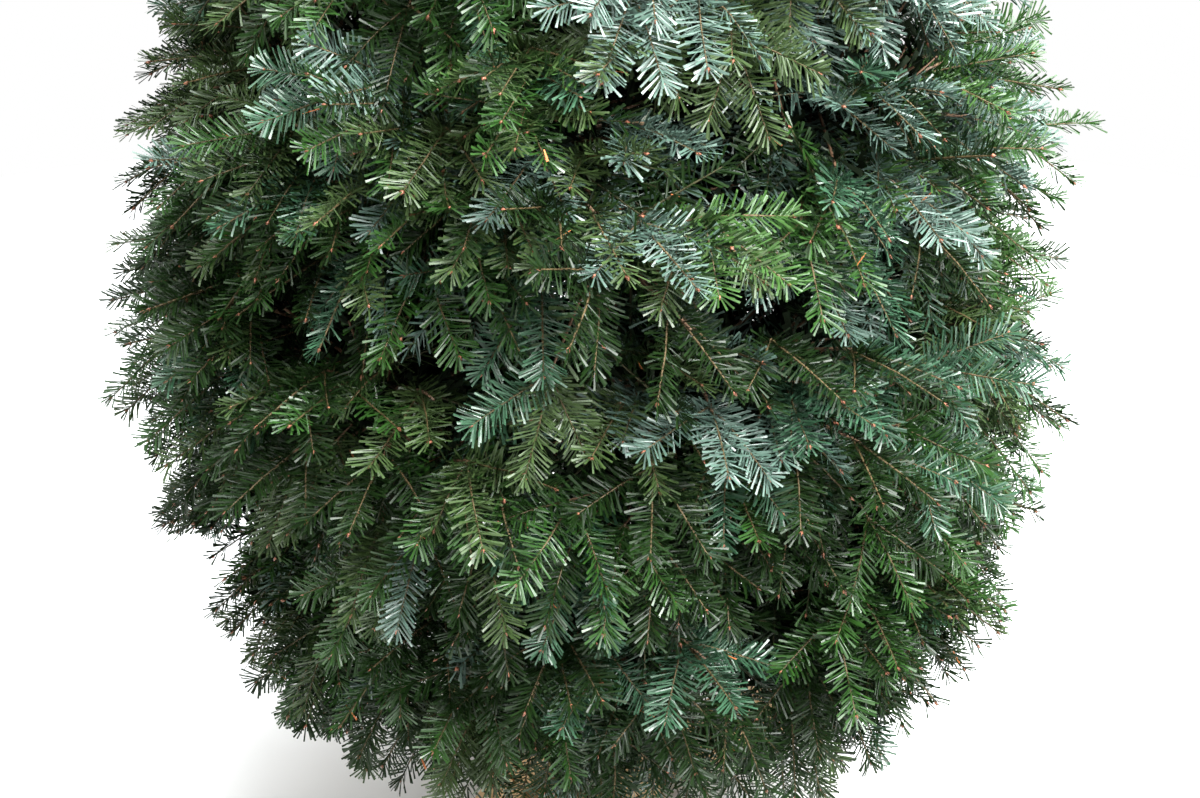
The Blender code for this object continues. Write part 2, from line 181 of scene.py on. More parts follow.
def dress(node, material):
    """Gives a CAD node that stays another material."""
    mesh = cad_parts[node].data
    mesh.materials.clear()
    mesh.materials.append(material)


dress("stand_beam_lower", pine("pine_lower", STAND_TURN, 0.0, (0.0, 0.012, 0.0), KNOTS))
dress("stand_beam_upper", pine("pine_upper", STAND_TURN + math.pi / 2, 0.0, (0.06, -0.009, 0.0), KNOTS[:2]))
for number in range(4):
    turn = STAND_TURN + number * math.pi / 2
    shift = (0.02 * number, 0.006, 0.004 * number)
    dress(f"stand_brace_{number + 1}", pine(f"pine_brace_{number + 1}", turn, BRACE_SLOPE, shift, ()))


# ---------------------------------------------------------------- stand screws
# Zinc-plated countersunk wood screws with cross recesses, two down each brace into the board and the trunk,
# and their heads are driven just flush with the wood.

SCREW_RADIUS = 0.0042
SCREW_DOME = 0.0006
SCREW_RIM = 0.0015
SCREW_PROUD = 0.0002
RECESS_DEPTH = 0.0011
RECESS_REACH = 0.0024
RECESS_HALF_WIDTH = 0.00055
SCREW_RINGS = 8
SCREW_SIDES = 32
BRACE_TOP_EDGE = ((0.175, 0.0453), (0.0, 0.2143))
SCREW_PLACES = (0.16, 0.62)  # shares of the brace's upper edge


def join(parts):
    """Joins (points, triangles) pairs into one such pair."""
    starts = np.cumsum([0] + [len(points) for points, _ in parts[:-1]])
    points = np.concatenate([points for points, _ in parts])
    faces = np.concatenate([faces + start for (_, faces), start in zip(parts, starts)])
    return points, faces


def add_piece(name, shape, material, replaced=(), smooth=False):
    """Makes a mesh piece of (points, faces), which rides on the tree and stands for the named nodes."""
    points, faces = shape
    mesh = bpy.data.meshes.new(name)
    mesh.from_pydata(points.tolist(), [], faces.tolist())
    mesh.materials.append(material)
    if smooth:
        mesh.shade_smooth()
    piece = bpy.data.objects.new(name, mesh)
    bpy.context.scene.collection.objects.link(piece)
    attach(piece, "root")
    if replaced:
        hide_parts(*replaced)
    return piece


def screw_head():
    """A domed disc with a cross pressed into it, facing +Z."""
    rows = []
    for ring in range(1, SCREW_RINGS + 1):
        radius = SCREW_RADIUS * (ring / SCREW_RINGS) ** 0.8
        for side in range(SCREW_SIDES):
            angle = side * math.tau / SCREW_SIDES
            x, y = radius * math.cos(angle), radius * math.sin(angle)
            recessed = radius < RECESS_REACH and min(abs(x), abs(y)) < RECESS_HALF_WIDTH
            dome = SCREW_DOME * (1 - (radius / SCREW_RADIUS) ** 2)
            rows.append((x, y, dome - RECESS_DEPTH * recessed))
    rows += [(x, y, -SCREW_RIM) for x, y, _ in rows[-SCREW_SIDES:]]
    rows.append((0.0, 0.0, SCREW_DOME - RECESS_DEPTH))
    faces = []
    for side in range(SCREW_SIDES):
        after = (side + 1) % SCREW_SIDES
        faces.append((len(rows) - 1, side, after))
        for ring in range(SCREW_RINGS):
            low, high = ring * SCREW_SIDES, (ring + 1) * SCREW_SIDES
            faces.append((low + side, high + side, high + after))
            faces.append((low + side, high + after, low + after))
    return np.array(rows), np.array(faces)


zinc, zinc_shader, start = new_material("zinc_plate", roughness=0.34)
zinc_shader.inputs["Metallic"].default_value = 1.0
spots = start.add("ShaderNodeTexCoord", out=3).noise(420.0, 3.0)
connect(zinc_shader, Base_Color=spots.choose((0.62, 0.60, 0.55, 1.0), (0.44, 0.42, 0.38, 1.0)))
heads = []
head_points, head_faces = screw_head()
foot_end, top_end = (np.array((x, 0.0, z)) for x, z in BRACE_TOP_EDGE)
edge = (top_end - foot_end) / np.linalg.norm(top_end - foot_end)
facing_out = np.array((edge[2], 0.0, -edge[0]))
axes = np.column_stack((edge, np.cross(facing_out, edge), facing_out))
for number in range(4):
    spin = np.array(Matrix.Rotation(STAND_TURN + number * math.pi / 2, 3, "Z"))
    for place in SCREW_PLACES:
        seat = foot_end + (top_end - foot_end) * place + facing_out * SCREW_PROUD
        driven = np.array(Matrix.Rotation(0.5 + number + 9 * place, 3, "Z"))
        heads.append(((head_points @ (axes @ driven).T + seat) @ spin.T, head_faces))
add_piece("stand_screws", join(heads), zinc, smooth=True)


# ---------------------------------------------------------------- trunk
# One fir trunk, sawn level at its foot. Its bark is thin, grey-brown and fairly smooth, with resin blisters,
# fine cracks, and a swollen collar where each bough leaves it.

TREE_HEIGHT = 2.00
CROWN_RADIUS = 0.50
CROWN_FOOT = 0.275
WIDEST_HEIGHT = 0.64
CROWN_CURVE = 1.35  # how full the crown stays above its widest height
FOOT_PINCH = 0.19  # share by which it narrows down to its foot
TRUNK_FOOT = BEAM_HEIGHT + 0.0003
TRUNK_TOP = 1.62
BUTT_RADIUS = 0.039
TRUNK_TOP_RADIUS = 0.0085
BUTT_SWELL = 0.006
TRUNK_SWAY = 0.006
TRUNK_STRAIGHT = 0.01  # without sway, at each end
TRUNK_SIDES = 28
TRUNK_RINGS = 190
BARK_WAVES = (  # (waves round the trunk, radians for each metre up it, height)
    (3, 9.0, 0.0007),
    (5, 31.0, 0.0004),
    (7, 95.0, 0.00035),
    (11, 210.0, 0.0003),
)
BLISTERS = 420
BLISTER_HEIGHT = 0.0011
BLISTER_SPREADS = (0.0016, 0.0034)
COLLAR_HEIGHT = 0.0045
COLLAR_LOSS = 0.13  # share of that height lost at each whorl up the trunk
COLLAR_SPREAD = 0.016
FULL_RELIEF_RADIUS = 0.02  # a thinner trunk has lower relief
WHORLS = (6, 6, 5, 4, 3, 3)
BARE_WHORLS = 5  # whose boughs are bare near the trunk
TIER_RISE = (1.715 - CROWN_FOOT) / len(WHORLS)
FOOT_SLOPE = -0.42  # rise over run of the lowest tier at its rim
TOP_SLOPE = 0.75  # and of the highest
WHORL_TURNS = tuple(math.radians(turn) for turn in (-98, -68, -104, -52, -98, -38))


def crown_radius(height):
    """How far the crown reaches from the trunk's axis at this height."""
    if height >= WIDEST_HEIGHT:
        share = min(1.0, (height - WIDEST_HEIGHT) / (TREE_HEIGHT - WIDEST_HEIGHT))
        return CROWN_RADIUS * (1 - share**CROWN_CURVE)
    share = (WIDEST_HEIGHT - height) / (WIDEST_HEIGHT - CROWN_FOOT)
    return CROWN_RADIUS * (1 - FOOT_PINCH * share * share)


def rim_height(tier):
    """Height of the lower edge of a tier at the crown's surface."""
    return CROWN_FOOT + TIER_RISE * tier


def rim_slope(tier):
    """Rise over run under a tier at its rim: low boughs droop and the highest climb."""
    return FOOT_SLOPE + (TOP_SLOPE - FOOT_SLOPE) * (tier / len(WHORLS)) ** 2


def tier_floor(tier, radius):
    """Height of the surface under a tier: level at the trunk, and arching to its slope at the rim."""
    rim = rim_height(tier)
    reach = crown_radius(rim)
    return rim - rim_slope(tier) * reach / 2 * (1 - (radius / reach) ** 2)


def trunk_centre(height):
    """The trunk's axis at this height: it sways a little, and starts and ends straight."""
    low, high = TRUNK_FOOT + TRUNK_STRAIGHT, TRUNK_TOP - TRUNK_STRAIGHT
    share = min(1.0, max(0.0, (height - low) / (high - low)))
    sway = TRUNK_SWAY * math.sin(math.pi * share)
    return Vector((sway * math.sin(math.pi * share), sway * math.sin(math.tau * share), height))


def trunk_radius(height):
    """The trunk's radius at this height, which swells at the butt."""
    share = (height - TRUNK_FOOT) / (TRUNK_TOP - TRUNK_FOOT)
    swell = BUTT_SWELL * math.exp(-18 * share)
    return BUTT_RADIUS + (TRUNK_TOP_RADIUS - BUTT_RADIUS) * share**0.9 + swell


def bough_bearing(whorl, number):
    """The direction of a bough round the trunk."""
    return WHORL_TURNS[whorl] + number * math.tau / WHORLS[whorl]


def bough_root(whorl):
    """Where a whorl's boughs leave the trunk: their lines start at its axis."""
    return trunk_centre((tier_floor(whorl, 0.0) + tier_floor(whorl + 1, 0.0)) / 2)


def ring_faces(rings, sides, close_start=True, close_end=True):
    """Triangles of a tube's rings of points, with a fan over each closed end."""
    ring, side = np.meshgrid(np.arange(rings - 1), np.arange(sides), indexing="ij")
    a = (ring * sides + side).ravel()
    b = (ring * sides + (side + 1) % sides).ravel()
    faces = [np.column_stack((a, b, b + sides)), np.column_stack((a, b + sides, a + sides))]
    fan = np.arange(1, sides - 1)
    if close_start:
        faces.append(np.column_stack((np.zeros_like(fan), fan + 1, fan)))
    if close_end:
        last = (rings - 1) * sides
        faces.append(np.column_stack((np.full_like(fan, last), last + fan, last + fan + 1)))
    return np.concatenate(faces)


def turn_from(angle, bearing):
    """The turn from a bearing to an angle, the shorter way round."""
    return np.remainder(angle - bearing + math.pi, math.tau) - math.pi


def trunk_shape():
    """The trunk's ridged surface, from the cut butt to its top."""
    draw = np.random.default_rng(11)
    heights = np.linspace(TRUNK_FOOT, TRUNK_TOP, TRUNK_RINGS)
    angles = np.arange(TRUNK_SIDES) * math.tau / TRUNK_SIDES
    radii = np.array([trunk_radius(height) for height in heights])
    height, angle = np.meshgrid(heights, angles, indexing="ij")
    radius = np.repeat(radii[:, None], TRUNK_SIDES, axis=1)
    relief = np.zeros_like(radius)
    for turns, rise, size in BARK_WAVES:
        for _ in range(3):
            phase = draw.uniform(0, math.tau, 2)
            tilt = draw.uniform(0.7, 1.3)
            relief += size * np.sin(turns * angle + phase[0]) * np.sin(rise * tilt * height + phase[1]) / 1.5
    for _ in range(BLISTERS):
        bearing = draw.uniform(0, math.tau)
        level = draw.uniform(TRUNK_FOOT, TRUNK_TOP)
        spread = draw.uniform(*BLISTER_SPREADS)
        across = turn_from(angle, bearing) * radius
        relief += BLISTER_HEIGHT * np.exp(-(across**2 * 0.5 + (height - level) ** 2) / spread**2)
    for whorl in range(BARE_WHORLS):
        level = bough_root(whorl).z
        for number in range(WHORLS[whorl]):
            across = turn_from(angle, bough_bearing(whorl, number)) * radius
            near = (across**2 + (height - level) ** 2) / COLLAR_SPREAD**2
            relief += COLLAR_HEIGHT * (1 - COLLAR_LOSS * whorl) * np.exp(-near)
    relief[0] = 0.0
    radius = radius + relief * np.minimum(1.0, radii / FULL_RELIEF_RADIUS)[:, None]
    centres = np.array([trunk_centre(level) for level in heights])[:, None, :]
    spokes = np.stack((np.cos(angle) * radius, np.sin(angle) * radius, np.zeros_like(radius)), axis=-1)
    return (centres + spokes).reshape(-1, 3), ring_faces(TRUNK_RINGS, TRUNK_SIDES)


def bark(name, deep, ridge, patch, grain):
    """Bark: dark in its cracks, paler on its ridges, with pale patches."""
    material, shader, start = new_material(name, specular=0.25)
    place = start.add("ShaderNodeTexCoord", out=3)
    broad = place.placed(scale=(1.0, 1.0, 0.6)).noise(grain * 0.16, 4.0)
    plates = place.placed(scale=(1.0, 1.0, 0.45)).noise(grain, 5.0, 0.62)
    colour = plates.between(0.36, 0.62).choose(deep, ridge)
    colour = (broad.between(0.5, 0.72) * 0.75).choose(colour, patch)
    bump = start.add("ShaderNodeBump", None, {"Strength": 0.8, "Distance": 0.001, "Height": plates})
    connect(shader, Base_Color=colour, Roughness=0.78 + plates * 0.2, Normal=bump)
    return material


trunk_bark = bark(
    "trunk_bark_relief",
    deep=(0.045, 0.034, 0.026, 1.0),
    ridge=(0.19, 0.155, 0.125, 1.0),
    patch=(0.27, 0.26, 0.235, 1.0),
    grain=150.0,
)
add_piece("trunk_bark", trunk_shape(), trunk_bark, ["trunk"], smooth=True)


# ---------------------------------------------------------------- boughs
# Twenty-four boughs in five whorls, each one tapering limb that grows out of its collar on the trunk.
# Thin brown bark with small cross ridges, kept straight between the trunk and the foliage.

BOUGH_BARE_SHARE = 0.31  # of the crown's radius
BOUGH_ROOT_RADIUS = 0.0095
BOUGH_TIP_RADIUS = 0.0062
BOUGH_THINNING = 0.11  # at each whorl up the trunk
BOUGH_SAG = 0.10
BOUGH_SIDES = 9
BOUGH_RINGS = 22
RIDGE_SHARE = 0.055  # relief of a limb's bark, as a share of its radius


def outward(bearing, climb=0.0):
    """A direction of length one away from the trunk, at this climb over the level."""
    level = math.cos(climb)
    return Vector((level * math.cos(bearing), level * math.sin(bearing), math.sin(climb)))


def bough_line(whorl, bearing):
    """The bough's line, from the trunk's axis to where its foliage starts."""
    radius = BOUGH_BARE_SHARE * crown_radius(rim_height(whorl + 0.5))
    height = (tier_floor(whorl, radius) + tier_floor(whorl + 1, radius)) / 2
    root = bough_root(whorl)
    end = outward(bearing) * radius + Vector((0, 0, height))
    rise = Vector((0, 0, BOUGH_SAG * (end - root).length))
    return [root.lerp(end, i / 3) + rise * math.sin(math.pi * i / 3) for i in range(4)]


def bough_radius(whorl, share):
    """The bough's radius at a share of its length. Higher boughs are thinner."""
    thinning = 1 - BOUGH_THINNING * whorl
    return thinning * (BOUGH_ROOT_RADIUS + (BOUGH_TIP_RADIUS - BOUGH_ROOT_RADIUS) * share)


def along_line(line, count):
    """Even points on a line of points."""
    line = np.array(line)
    steps = np.concatenate(([0.0], np.cumsum(np.linalg.norm(np.diff(line, axis=0), axis=1))))
    places = np.linspace(0.0, steps[-1], count)
    return np.column_stack([np.interp(places, steps, line[:, axis]) for axis in range(3)])


def limb(line, radii, sides, draw, relief=RIDGE_SHARE, caps=(True, True)):
    """A tapering limb along a line of points, with ridged bark, as (points, triangles)."""
    line = np.asarray(line, float)
    radii = np.interp(np.linspace(0, 1, len(line)), np.linspace(0, 1, len(radii)), radii)
    tangents = np.gradient(line, axis=0)
    tangents /= np.linalg.norm(tangents, axis=1)[:, None]
    side = np.cross(tangents[0], (0.0, 0.0, 1.0))
    if np.linalg.norm(side) < 0.1:
        side = np.array((1.0, 0.0, 0.0))
    angles = np.arange(sides) * math.tau / sides
    phases = draw.uniform(0, math.tau, 4)
    points = np.empty((len(line), sides, 3))
    for ring, (centre, tangent, radius) in enumerate(zip(line, tangents, radii)):
        side = side - tangent * (side @ tangent)
        side /= np.linalg.norm(side)
        other = np.cross(tangent, side)
        ridges = np.sin(3 * angles + phases[0] + 1.7 * ring) + np.sin(2 * angles + phases[1] - 0.9 * ring)
        swell = 1 + relief * (ridges * 0.6 + 0.6 * math.sin(2.3 * ring + phases[2]))
        spokes = np.outer(np.cos(angles), side) + np.outer(np.sin(angles), other)
        points[ring] = centre + spokes * (radius * swell)[:, None]
    return points.reshape(-1, 3), ring_faces(len(line), sides, *caps)


bough_bark = bark(
    "bough_bark_relief",
    deep=(0.05, 0.028, 0.018, 1.0),
    ridge=(0.20, 0.125, 0.075, 1.0),
    patch=(0.22, 0.17, 0.13, 1.0),
    grain=330.0,
)
draw = np.random.default_rng(21)
bough_shapes = []
bough_nodes = []
for whorl in range(BARE_WHORLS):
    for number in range(WHORLS[whorl]):
        line = along_line(bough_line(whorl, bough_bearing(whorl, number)), BOUGH_RINGS)
        line[1:-1] = (line[:-2] + line[1:-1] * 2 + line[2:]) / 4  # eases its bends
        radii = [bough_radius(whorl, share) for share in (0.0, 0.5, 1.0)]
        bough_shapes.append(limb(line, radii, BOUGH_SIDES, draw))
        bough_nodes.append(f"bough_{whorl + 1}_{number + 1}")
add_piece("bough_bark", join(bough_shapes), bough_bark, bough_nodes, smooth=True)


# ---------------------------------------------------------------- shoots
# A shoot is one year's growth of one twig: a thin straight piece of wood with needles along it, which ends in
# buds. This year's are green-needled all round, last year's are half bare, and those inside nearly so.

UP = np.array((0.0, 0.0, 1.0))
NEW, SHADED, OLD, INNER, UPRIGHT = "new", "shaded", "old", "inner", "upright"
SHOOT_LENGTHS = (0.108, 0.094, 0.082, 0.070)  # of the kinds of new shoot, longest first
SHOOT_VARIANTS = 3
OLD_LENGTH = 0.078
INNER_LENGTH = 0.105
INNER_COVER = 0.05  # how deep under the crown's surface all the inner ones stay
BUD_SIZES = (0.0037, 0.0029, 0.0029)
BUD_TURNS = (0.0, 0.75, -0.75)
STRAY_TONES = ("deep", "forest", "blue", "silver", "moss")  # of the few shoots that differ from their frond
STRAY_SHARE = 0.14


class Shoot(NamedTuple):
    """A needled shoot: its kind, variant, colour and place, and how it is stretched and bent."""

    kind: str
    variant: int
    tone: str
    origin: np.ndarray
    axes: np.ndarray
    stretch: float
    sag: float
    sweep: float

    def middle(self):
        """Near enough its middle, whatever its length."""
        return self.origin + self.axes[:, 0] * 0.05


shoots = []
covered = []  # points along the new shoots
bud_places = []  # (point, axes, size)


def normal(vector):
    """The same direction with length one."""
    return vector / np.linalg.norm(vector)


def axes_of(along, out):
    """Columns along, across and out of the upper face, square to each other."""
    along = normal(along)
    out = normal(out - along * (out @ along))
    return np.column_stack((along, np.cross(out, along), out))


def turned(axes, swing, lift, roll):
    """Axes swung sideways, lifted out of their plane, then rolled about their own line."""
    level = math.cos(lift)
    along = axes @ np.array((math.cos(swing) * level, math.sin(swing) * level, math.sin(lift)))
    result = axes_of(along, axes[:, 2])
    spin = np.array(((1, 0, 0), (0, math.cos(roll), -math.sin(roll)), (0, math.sin(roll), math.cos(roll))))
    return result @ spin


def hung(axes, amount):
    """Axes whose line sags towards the ground."""
    return axes_of(axes[:, 0] - np.array((0.0, 0.0, amount)), axes[:, 2])


def depth_inside(point):
    """How far a point is inside the crown's surface, on the level."""
    return crown_radius(point[2]) - math.hypot(point[0], point[1])


def sprout(kind, tone, origin, axes, length, draw, sag=None, buds=0):
    """Adds one needled shoot, and gives the place and axes of its tip."""
    if kind in (NEW, SHADED):
        nearest = min(range(len(SHOOT_LENGTHS)), key=lambda i: abs(SHOOT_LENGTHS[i] - length))
        variant = nearest * SHOOT_VARIANTS + draw.randrange(SHOOT_VARIANTS)
        full = SHOOT_LENGTHS[nearest]
    else:
        variant = draw.randrange(SHOOT_VARIANTS)
        full = {OLD: OLD_LENGTH, INNER: INNER_LENGTH, UPRIGHT: SHOOT_LENGTHS[0]}[kind]
    sag = draw.uniform(0.02, 0.16) if sag is None else sag
    sweep = draw.uniform(-0.07, 0.07)
    if kind == INNER and depth_inside(origin + axes[:, 0] * (length + 0.02)) < INNER_COVER:
        return origin, axes
    shoots.append(Shoot(kind, variant, tone, origin, axes, length / full, sag, sweep))
    if kind in (NEW, SHADED):
        covered.extend(origin + axes[:, 0] * length * share for share in (0.3, 0.6, 0.9))
    tip = origin + axes @ np.array((length, sweep * full, -sag * full))
    heading = axes_of(axes @ np.array((1.0, 2 * sweep, -2 * sag)), axes[:, 2])
    for size, turn in list(zip(BUD_SIZES, BUD_TURNS))[:buds]:
        bud_axes = turned(heading, turn, 0.0, 0.0)
        bud_places.append((tip - heading[:, 0] * 0.001, bud_axes, size * draw.uniform(0.85, 1.2)))
    return tip, heading


def forked_end(tone, origin, axes, size, hang, draw, kind=NEW):
    """This year's growth at a branch's end: the shoot itself and two side shoots from the same node."""
    for side in (0, 1, -1):
        length = size * (draw.uniform(0.96, 1.1) if side == 0 else draw.uniform(0.72, 0.92))
        swing = side * math.radians(draw.uniform(38, 54)) + draw.uniform(-0.07, 0.07)
        roll = side * draw.uniform(-0.1, 0.5) + draw.gauss(0, 0.3)
        own_axes = hung(turned(axes, swing, draw.uniform(-0.14, 0.08), roll), hang * draw.uniform(0.5, 1.3))
        own = tone if draw.random() < 1 - STRAY_SHARE else draw.choice(STRAY_TONES)
        sprout(kind, own, origin, own_axes, length, draw, buds=3 if side == 0 else 1)


# ---------------------------------------------------------------- fronds
# A frond ends each twig: this year's shoots in threes at its tip, and behind them, where each year's growth
# began, older side branches that fork in the same way. Its outer shoots sag a little under their weight.

SPRAY_LENGTH = 0.165
NODE_A = 0.100  # from the frond's tip back to its first side shoots
NODE_B = 0.182  # and to its forked side branches
NODE_C = 0.262  # and to its old side branches
TWIG_POINTS = 33
TWIG_RADII = (0.0031, 0.0014)
SHORT_TWIG_RADII = (0.0026, 0.0013)
INNER_SPACING = 0.017  # between the inner side twigs of a frond's limb
SHOOT_HANG = 0.36  # how far the outer shoots sag below the frond
UPRIGHT_ABOVE = 1.75  # the height from which they don't sag at all
HANG_FADE = 0.5  # and how far below it the sag is full

limbs = []  # (path, radii)
forks = []  # (point, axes) where a limb can carry one more side branch
inner_roots = []  # points on the limbs that can carry inner twigs


def hang_at(height):
    """How far the shoots of a frond sag at this height."""
    return SHOOT_HANG * min(1.0, max(0.0, (UPRIGHT_ABOVE - height) / HANG_FADE))


def curve(start, first, second, end, count):
    """Points on a cubic curve with two handles."""
    t = np.linspace(0.0, 1.0, count)[:, None]
    return (1 - t) ** 3 * start + 3 * (1 - t) ** 2 * t * first + 3 * (1 - t) * t * t * second + t**3 * end


def tip_shoots(end, place, node_axes, axes, tone, scale, hang, draw):
    """The shoot that ends a frond, and a side shoot to each side from its node."""
    ahead = end - place
    sag = draw.uniform(0.0, 0.12)
    sprout(NEW, tone, place, axes_of(ahead, axes[:, 2]), np.linalg.norm(ahead), draw, sag=sag, buds=3)
    for side in (1, -1):
        swing = side * math.radians(draw.uniform(40, 52))
        roll = side * draw.uniform(-0.1, 0.5) + draw.gauss(0, 0.2)
        side_axes = turned(node_axes, swing, draw.uniform(-0.12, 0.05), roll)
        side_axes = hung(side_axes, hang * draw.uniform(0.4, 1.2))
        sprout(NEW, tone, place, side_axes, scale * draw.uniform(0.080, 0.100), draw, buds=1)


def forked_branches(place, older, older_axes, tone, scale, hang, draw):
    """Last year's wood behind a frond's end, with a forked branch to each side and one above or below."""
    behind = axes_of(place - older, older_axes[:, 2])
    sprout(OLD, tone, older, behind, np.linalg.norm(place - older), draw, sag=0.0)
    for side in (1, -1):
        swing = side * math.radians(draw.uniform(42, 60))
        roll = side * draw.uniform(-0.05, 0.5) + draw.gauss(0, 0.25)
        side_axes = turned(older_axes, swing, draw.uniform(-0.25, 0.3), roll)
        side_axes = hung(side_axes, hang * draw.uniform(0.2, 0.8))
        length = scale * draw.uniform(0.064, 0.084)
        branch, branch_axes = sprout(OLD, tone, older, side_axes, length, draw, sag=0.03)
        forked_end(tone, branch, branch_axes, 0.092 * scale, hang, draw)
    drop = draw.choice((1, -1)) * draw.uniform(0.45, 0.85)
    spur_axes = turned(older_axes, draw.uniform(-0.3, 0.3), drop, draw.uniform(-0.5, 0.5))
    spur, spur_axes = sprout(OLD, tone, older, spur_axes, scale * draw.uniform(0.05, 0.07), draw, sag=0.03)
    forked_end(tone, spur, hung(spur_axes, -0.4 * drop), 0.086 * scale, hang, draw)


def oldest_branches(older, oldest, oldest_axes, tone, scale, hang, draw):
    """The sparse wood behind that, with one forked branch lifted and one drooping."""
    sprout(INNER, "inner", oldest, axes_of(older - oldest, oldest_axes[:, 2]), 0.09, draw, sag=0.0)
    rise = draw.choice((1, -1)) * draw.uniform(0.15, 0.5)
    for side in (1, -1):
        swing = side * math.radians(draw.uniform(36, 66))
        side_axes = turned(oldest_axes, swing, side * rise, side * draw.uniform(-0.1, 0.5))
        length = scale * draw.uniform(0.078, 0.1)
        branch, branch_axes = sprout(OLD, tone, oldest, side_axes, length, draw, sag=0.03)
        forked_end(draw.choice((tone, "deep", "forest")), branch, branch_axes, 0.088 * scale, hang, draw)


def frond(start, leaving, tip, axes, tone, draw):
    """A twig and the frond that ends it, from its start on the stem to its tip at the crown's surface."""
    start, leaving, tip = np.array(start), np.array(leaving), np.array(tip)
    distance = np.linalg.norm(tip - start)
    scale = min(1.0, 0.9 * distance / SPRAY_LENGTH) * draw.uniform(0.93, 1.06)
    end = tip - axes[:, 0] * 0.008
    away = start + leaving * 0.3 * distance
    path = curve(start, away, end - axes[:, 0] * 0.45 * distance, end, TWIG_POINTS)
    steps = np.concatenate(([0.0], np.cumsum(np.linalg.norm(np.diff(path, axis=0), axis=1))))

    def node_at(back):
        """Place and axes at a distance back from the tip, or none if the twig is too short."""
        place = steps[-1] - back
        if place < 0.0:
            return None
        here = np.array([np.interp(place, steps, path[:, i]) for i in range(3)])
        ahead = np.array([np.interp(place + 0.02, steps, path[:, i]) for i in range(3)])
        return here, axes_of(ahead - here, axes[:, 2])

    first = node_at(NODE_A * scale)
    if first is None:
        sprout(NEW, tone, start, axes_of(end - start, axes[:, 2]), distance * 0.94, draw, buds=3)
        return
    hang = hang_at(tip[2])
    tip_shoots(end, *first, axes, tone, scale, hang, draw)
    second = node_at(NODE_B * scale)
    if second is None:
        limbs.append((path, SHORT_TWIG_RADII))
        return
    forks.append(second)
    forked_branches(first[0], *second, tone, scale, hang, draw)
    third = node_at(NODE_C * scale)
    if third is not None:
        forks.append(third)
        oldest_branches(second[0], *third, tone, scale, hang, draw)
    for back in np.arange(0.16, steps[-1], INNER_SPACING):
        root, root_axes = node_at(back)
        inner_roots.append(root)
        swing, lift, roll = draw.uniform(-1.9, 1.9), draw.uniform(-0.9, 0.9), draw.uniform(-0.6, 0.6)
        sprout(INNER, "inner", root, turned(root_axes, swing, lift, roll), draw.uniform(0.09, 0.13), draw)
    limbs.append((path[: int(TWIG_POINTS * (1 - 0.5 * NODE_A * scale / steps[-1]))], TWIG_RADII))


# ---------------------------------------------------------------- masses of foliage
# Twenty-seven masses, one at each bough's end: a stem that carries on from the bough, and twigs that leave it
# in three rows and end at the crown's surface. Low on one side the crown has been pressed in a little.

STEM_REACH = 0.62  # share of the crown's radius
STEM_LEAD = 0.02  # how far a stem runs straight on from its bough before it bends
STEM_TAPER = (1.0, 0.75, 0.45)
STEM_TWIGS = 16
BOUGH_TWIGS = 10
ROWS = (0.12, 0.5, 0.88)  # heights of the rows of twigs, as shares of their tier
ROW_FAN = 0.4  # how much steeper the upper rows climb
SIDE_FAN = 0.35  # how far the outer twigs of a mass turn to its sides
SPRAY_HANG = 0.07  # radians below the slope of the tier
SPRAY_WIDTH = 0.118
CELL = 0.128  # between twigs across a mass
PRESSED_BELOW = 0.67
PRESSED_FADE = 0.2  # how far below that height the crown is fully pressed
PRESSED_SHARE = 0.06
PRESSED_SHIFT = 0.028


def climb_at(tier):
    """How far a spray points above the level."""
    return math.atan(rim_slope(tier)) - SPRAY_HANG


def twigs_of(whorl, number, reach, bearing_of_mass):
    """Yields each twig of a mass as (place along the stem, tip, direction at the tip), by a seeded rule."""
    seed = random.Random(1000 + 20 * whorl + number)
    half_angle = math.pi / WHORLS[whorl]
    columns = max(3, round(2 * half_angle * reach / CELL))
    edge_share = 1 - 0.55 * SPRAY_WIDTH / (reach * half_angle)
    for row, up in enumerate(ROWS):
        for column in range(columns - row % 2):
            across = edge_share * (2 * (column + 0.5 * (row % 2)) / (columns - 1) - 1)
            across += seed.uniform(-0.04, 0.04)
            level = up + seed.uniform(-0.05, 0.05)
            bearing = bearing_of_mass + half_angle * across
            height = rim_height(whorl + level)
            tip = outward(bearing) * crown_radius(height) * seed.uniform(0.93, 1.05)
            tip.z = height
            turn = SIDE_FAN * half_angle * across + seed.uniform(-0.17, 0.17)
            climb = climb_at(whorl + level) + ROW_FAN * (level - 0.5) + seed.uniform(-0.12, 0.12)
            yield seed.uniform(0.3, 0.95), tip, outward(bearing + turn, climb)


def facing(direction, roll):
    """Axes of a spray: along it, across it and out of its upper face, rolled a little."""
    along = direction.normalized()
    side = Vector((0, 0, 1)).cross(along)
    if side.length < 0.2:
        side = Vector((0, 1, 0))
    side.normalize()
    side = Matrix.Rotation(roll, 3, along) @ side
    return np.array(Matrix((along, side, along.cross(side))).transposed())


def settled(tip):
    """A tip, drawn in where the crown has been pressed on its low side."""
    low = min(1.0, max(0.0, (PRESSED_BELOW - tip.z) / PRESSED_FADE))
    return Vector((tip.x * (1 - PRESSED_SHARE * low) + PRESSED_SHIFT * low, tip.y, tip.z))


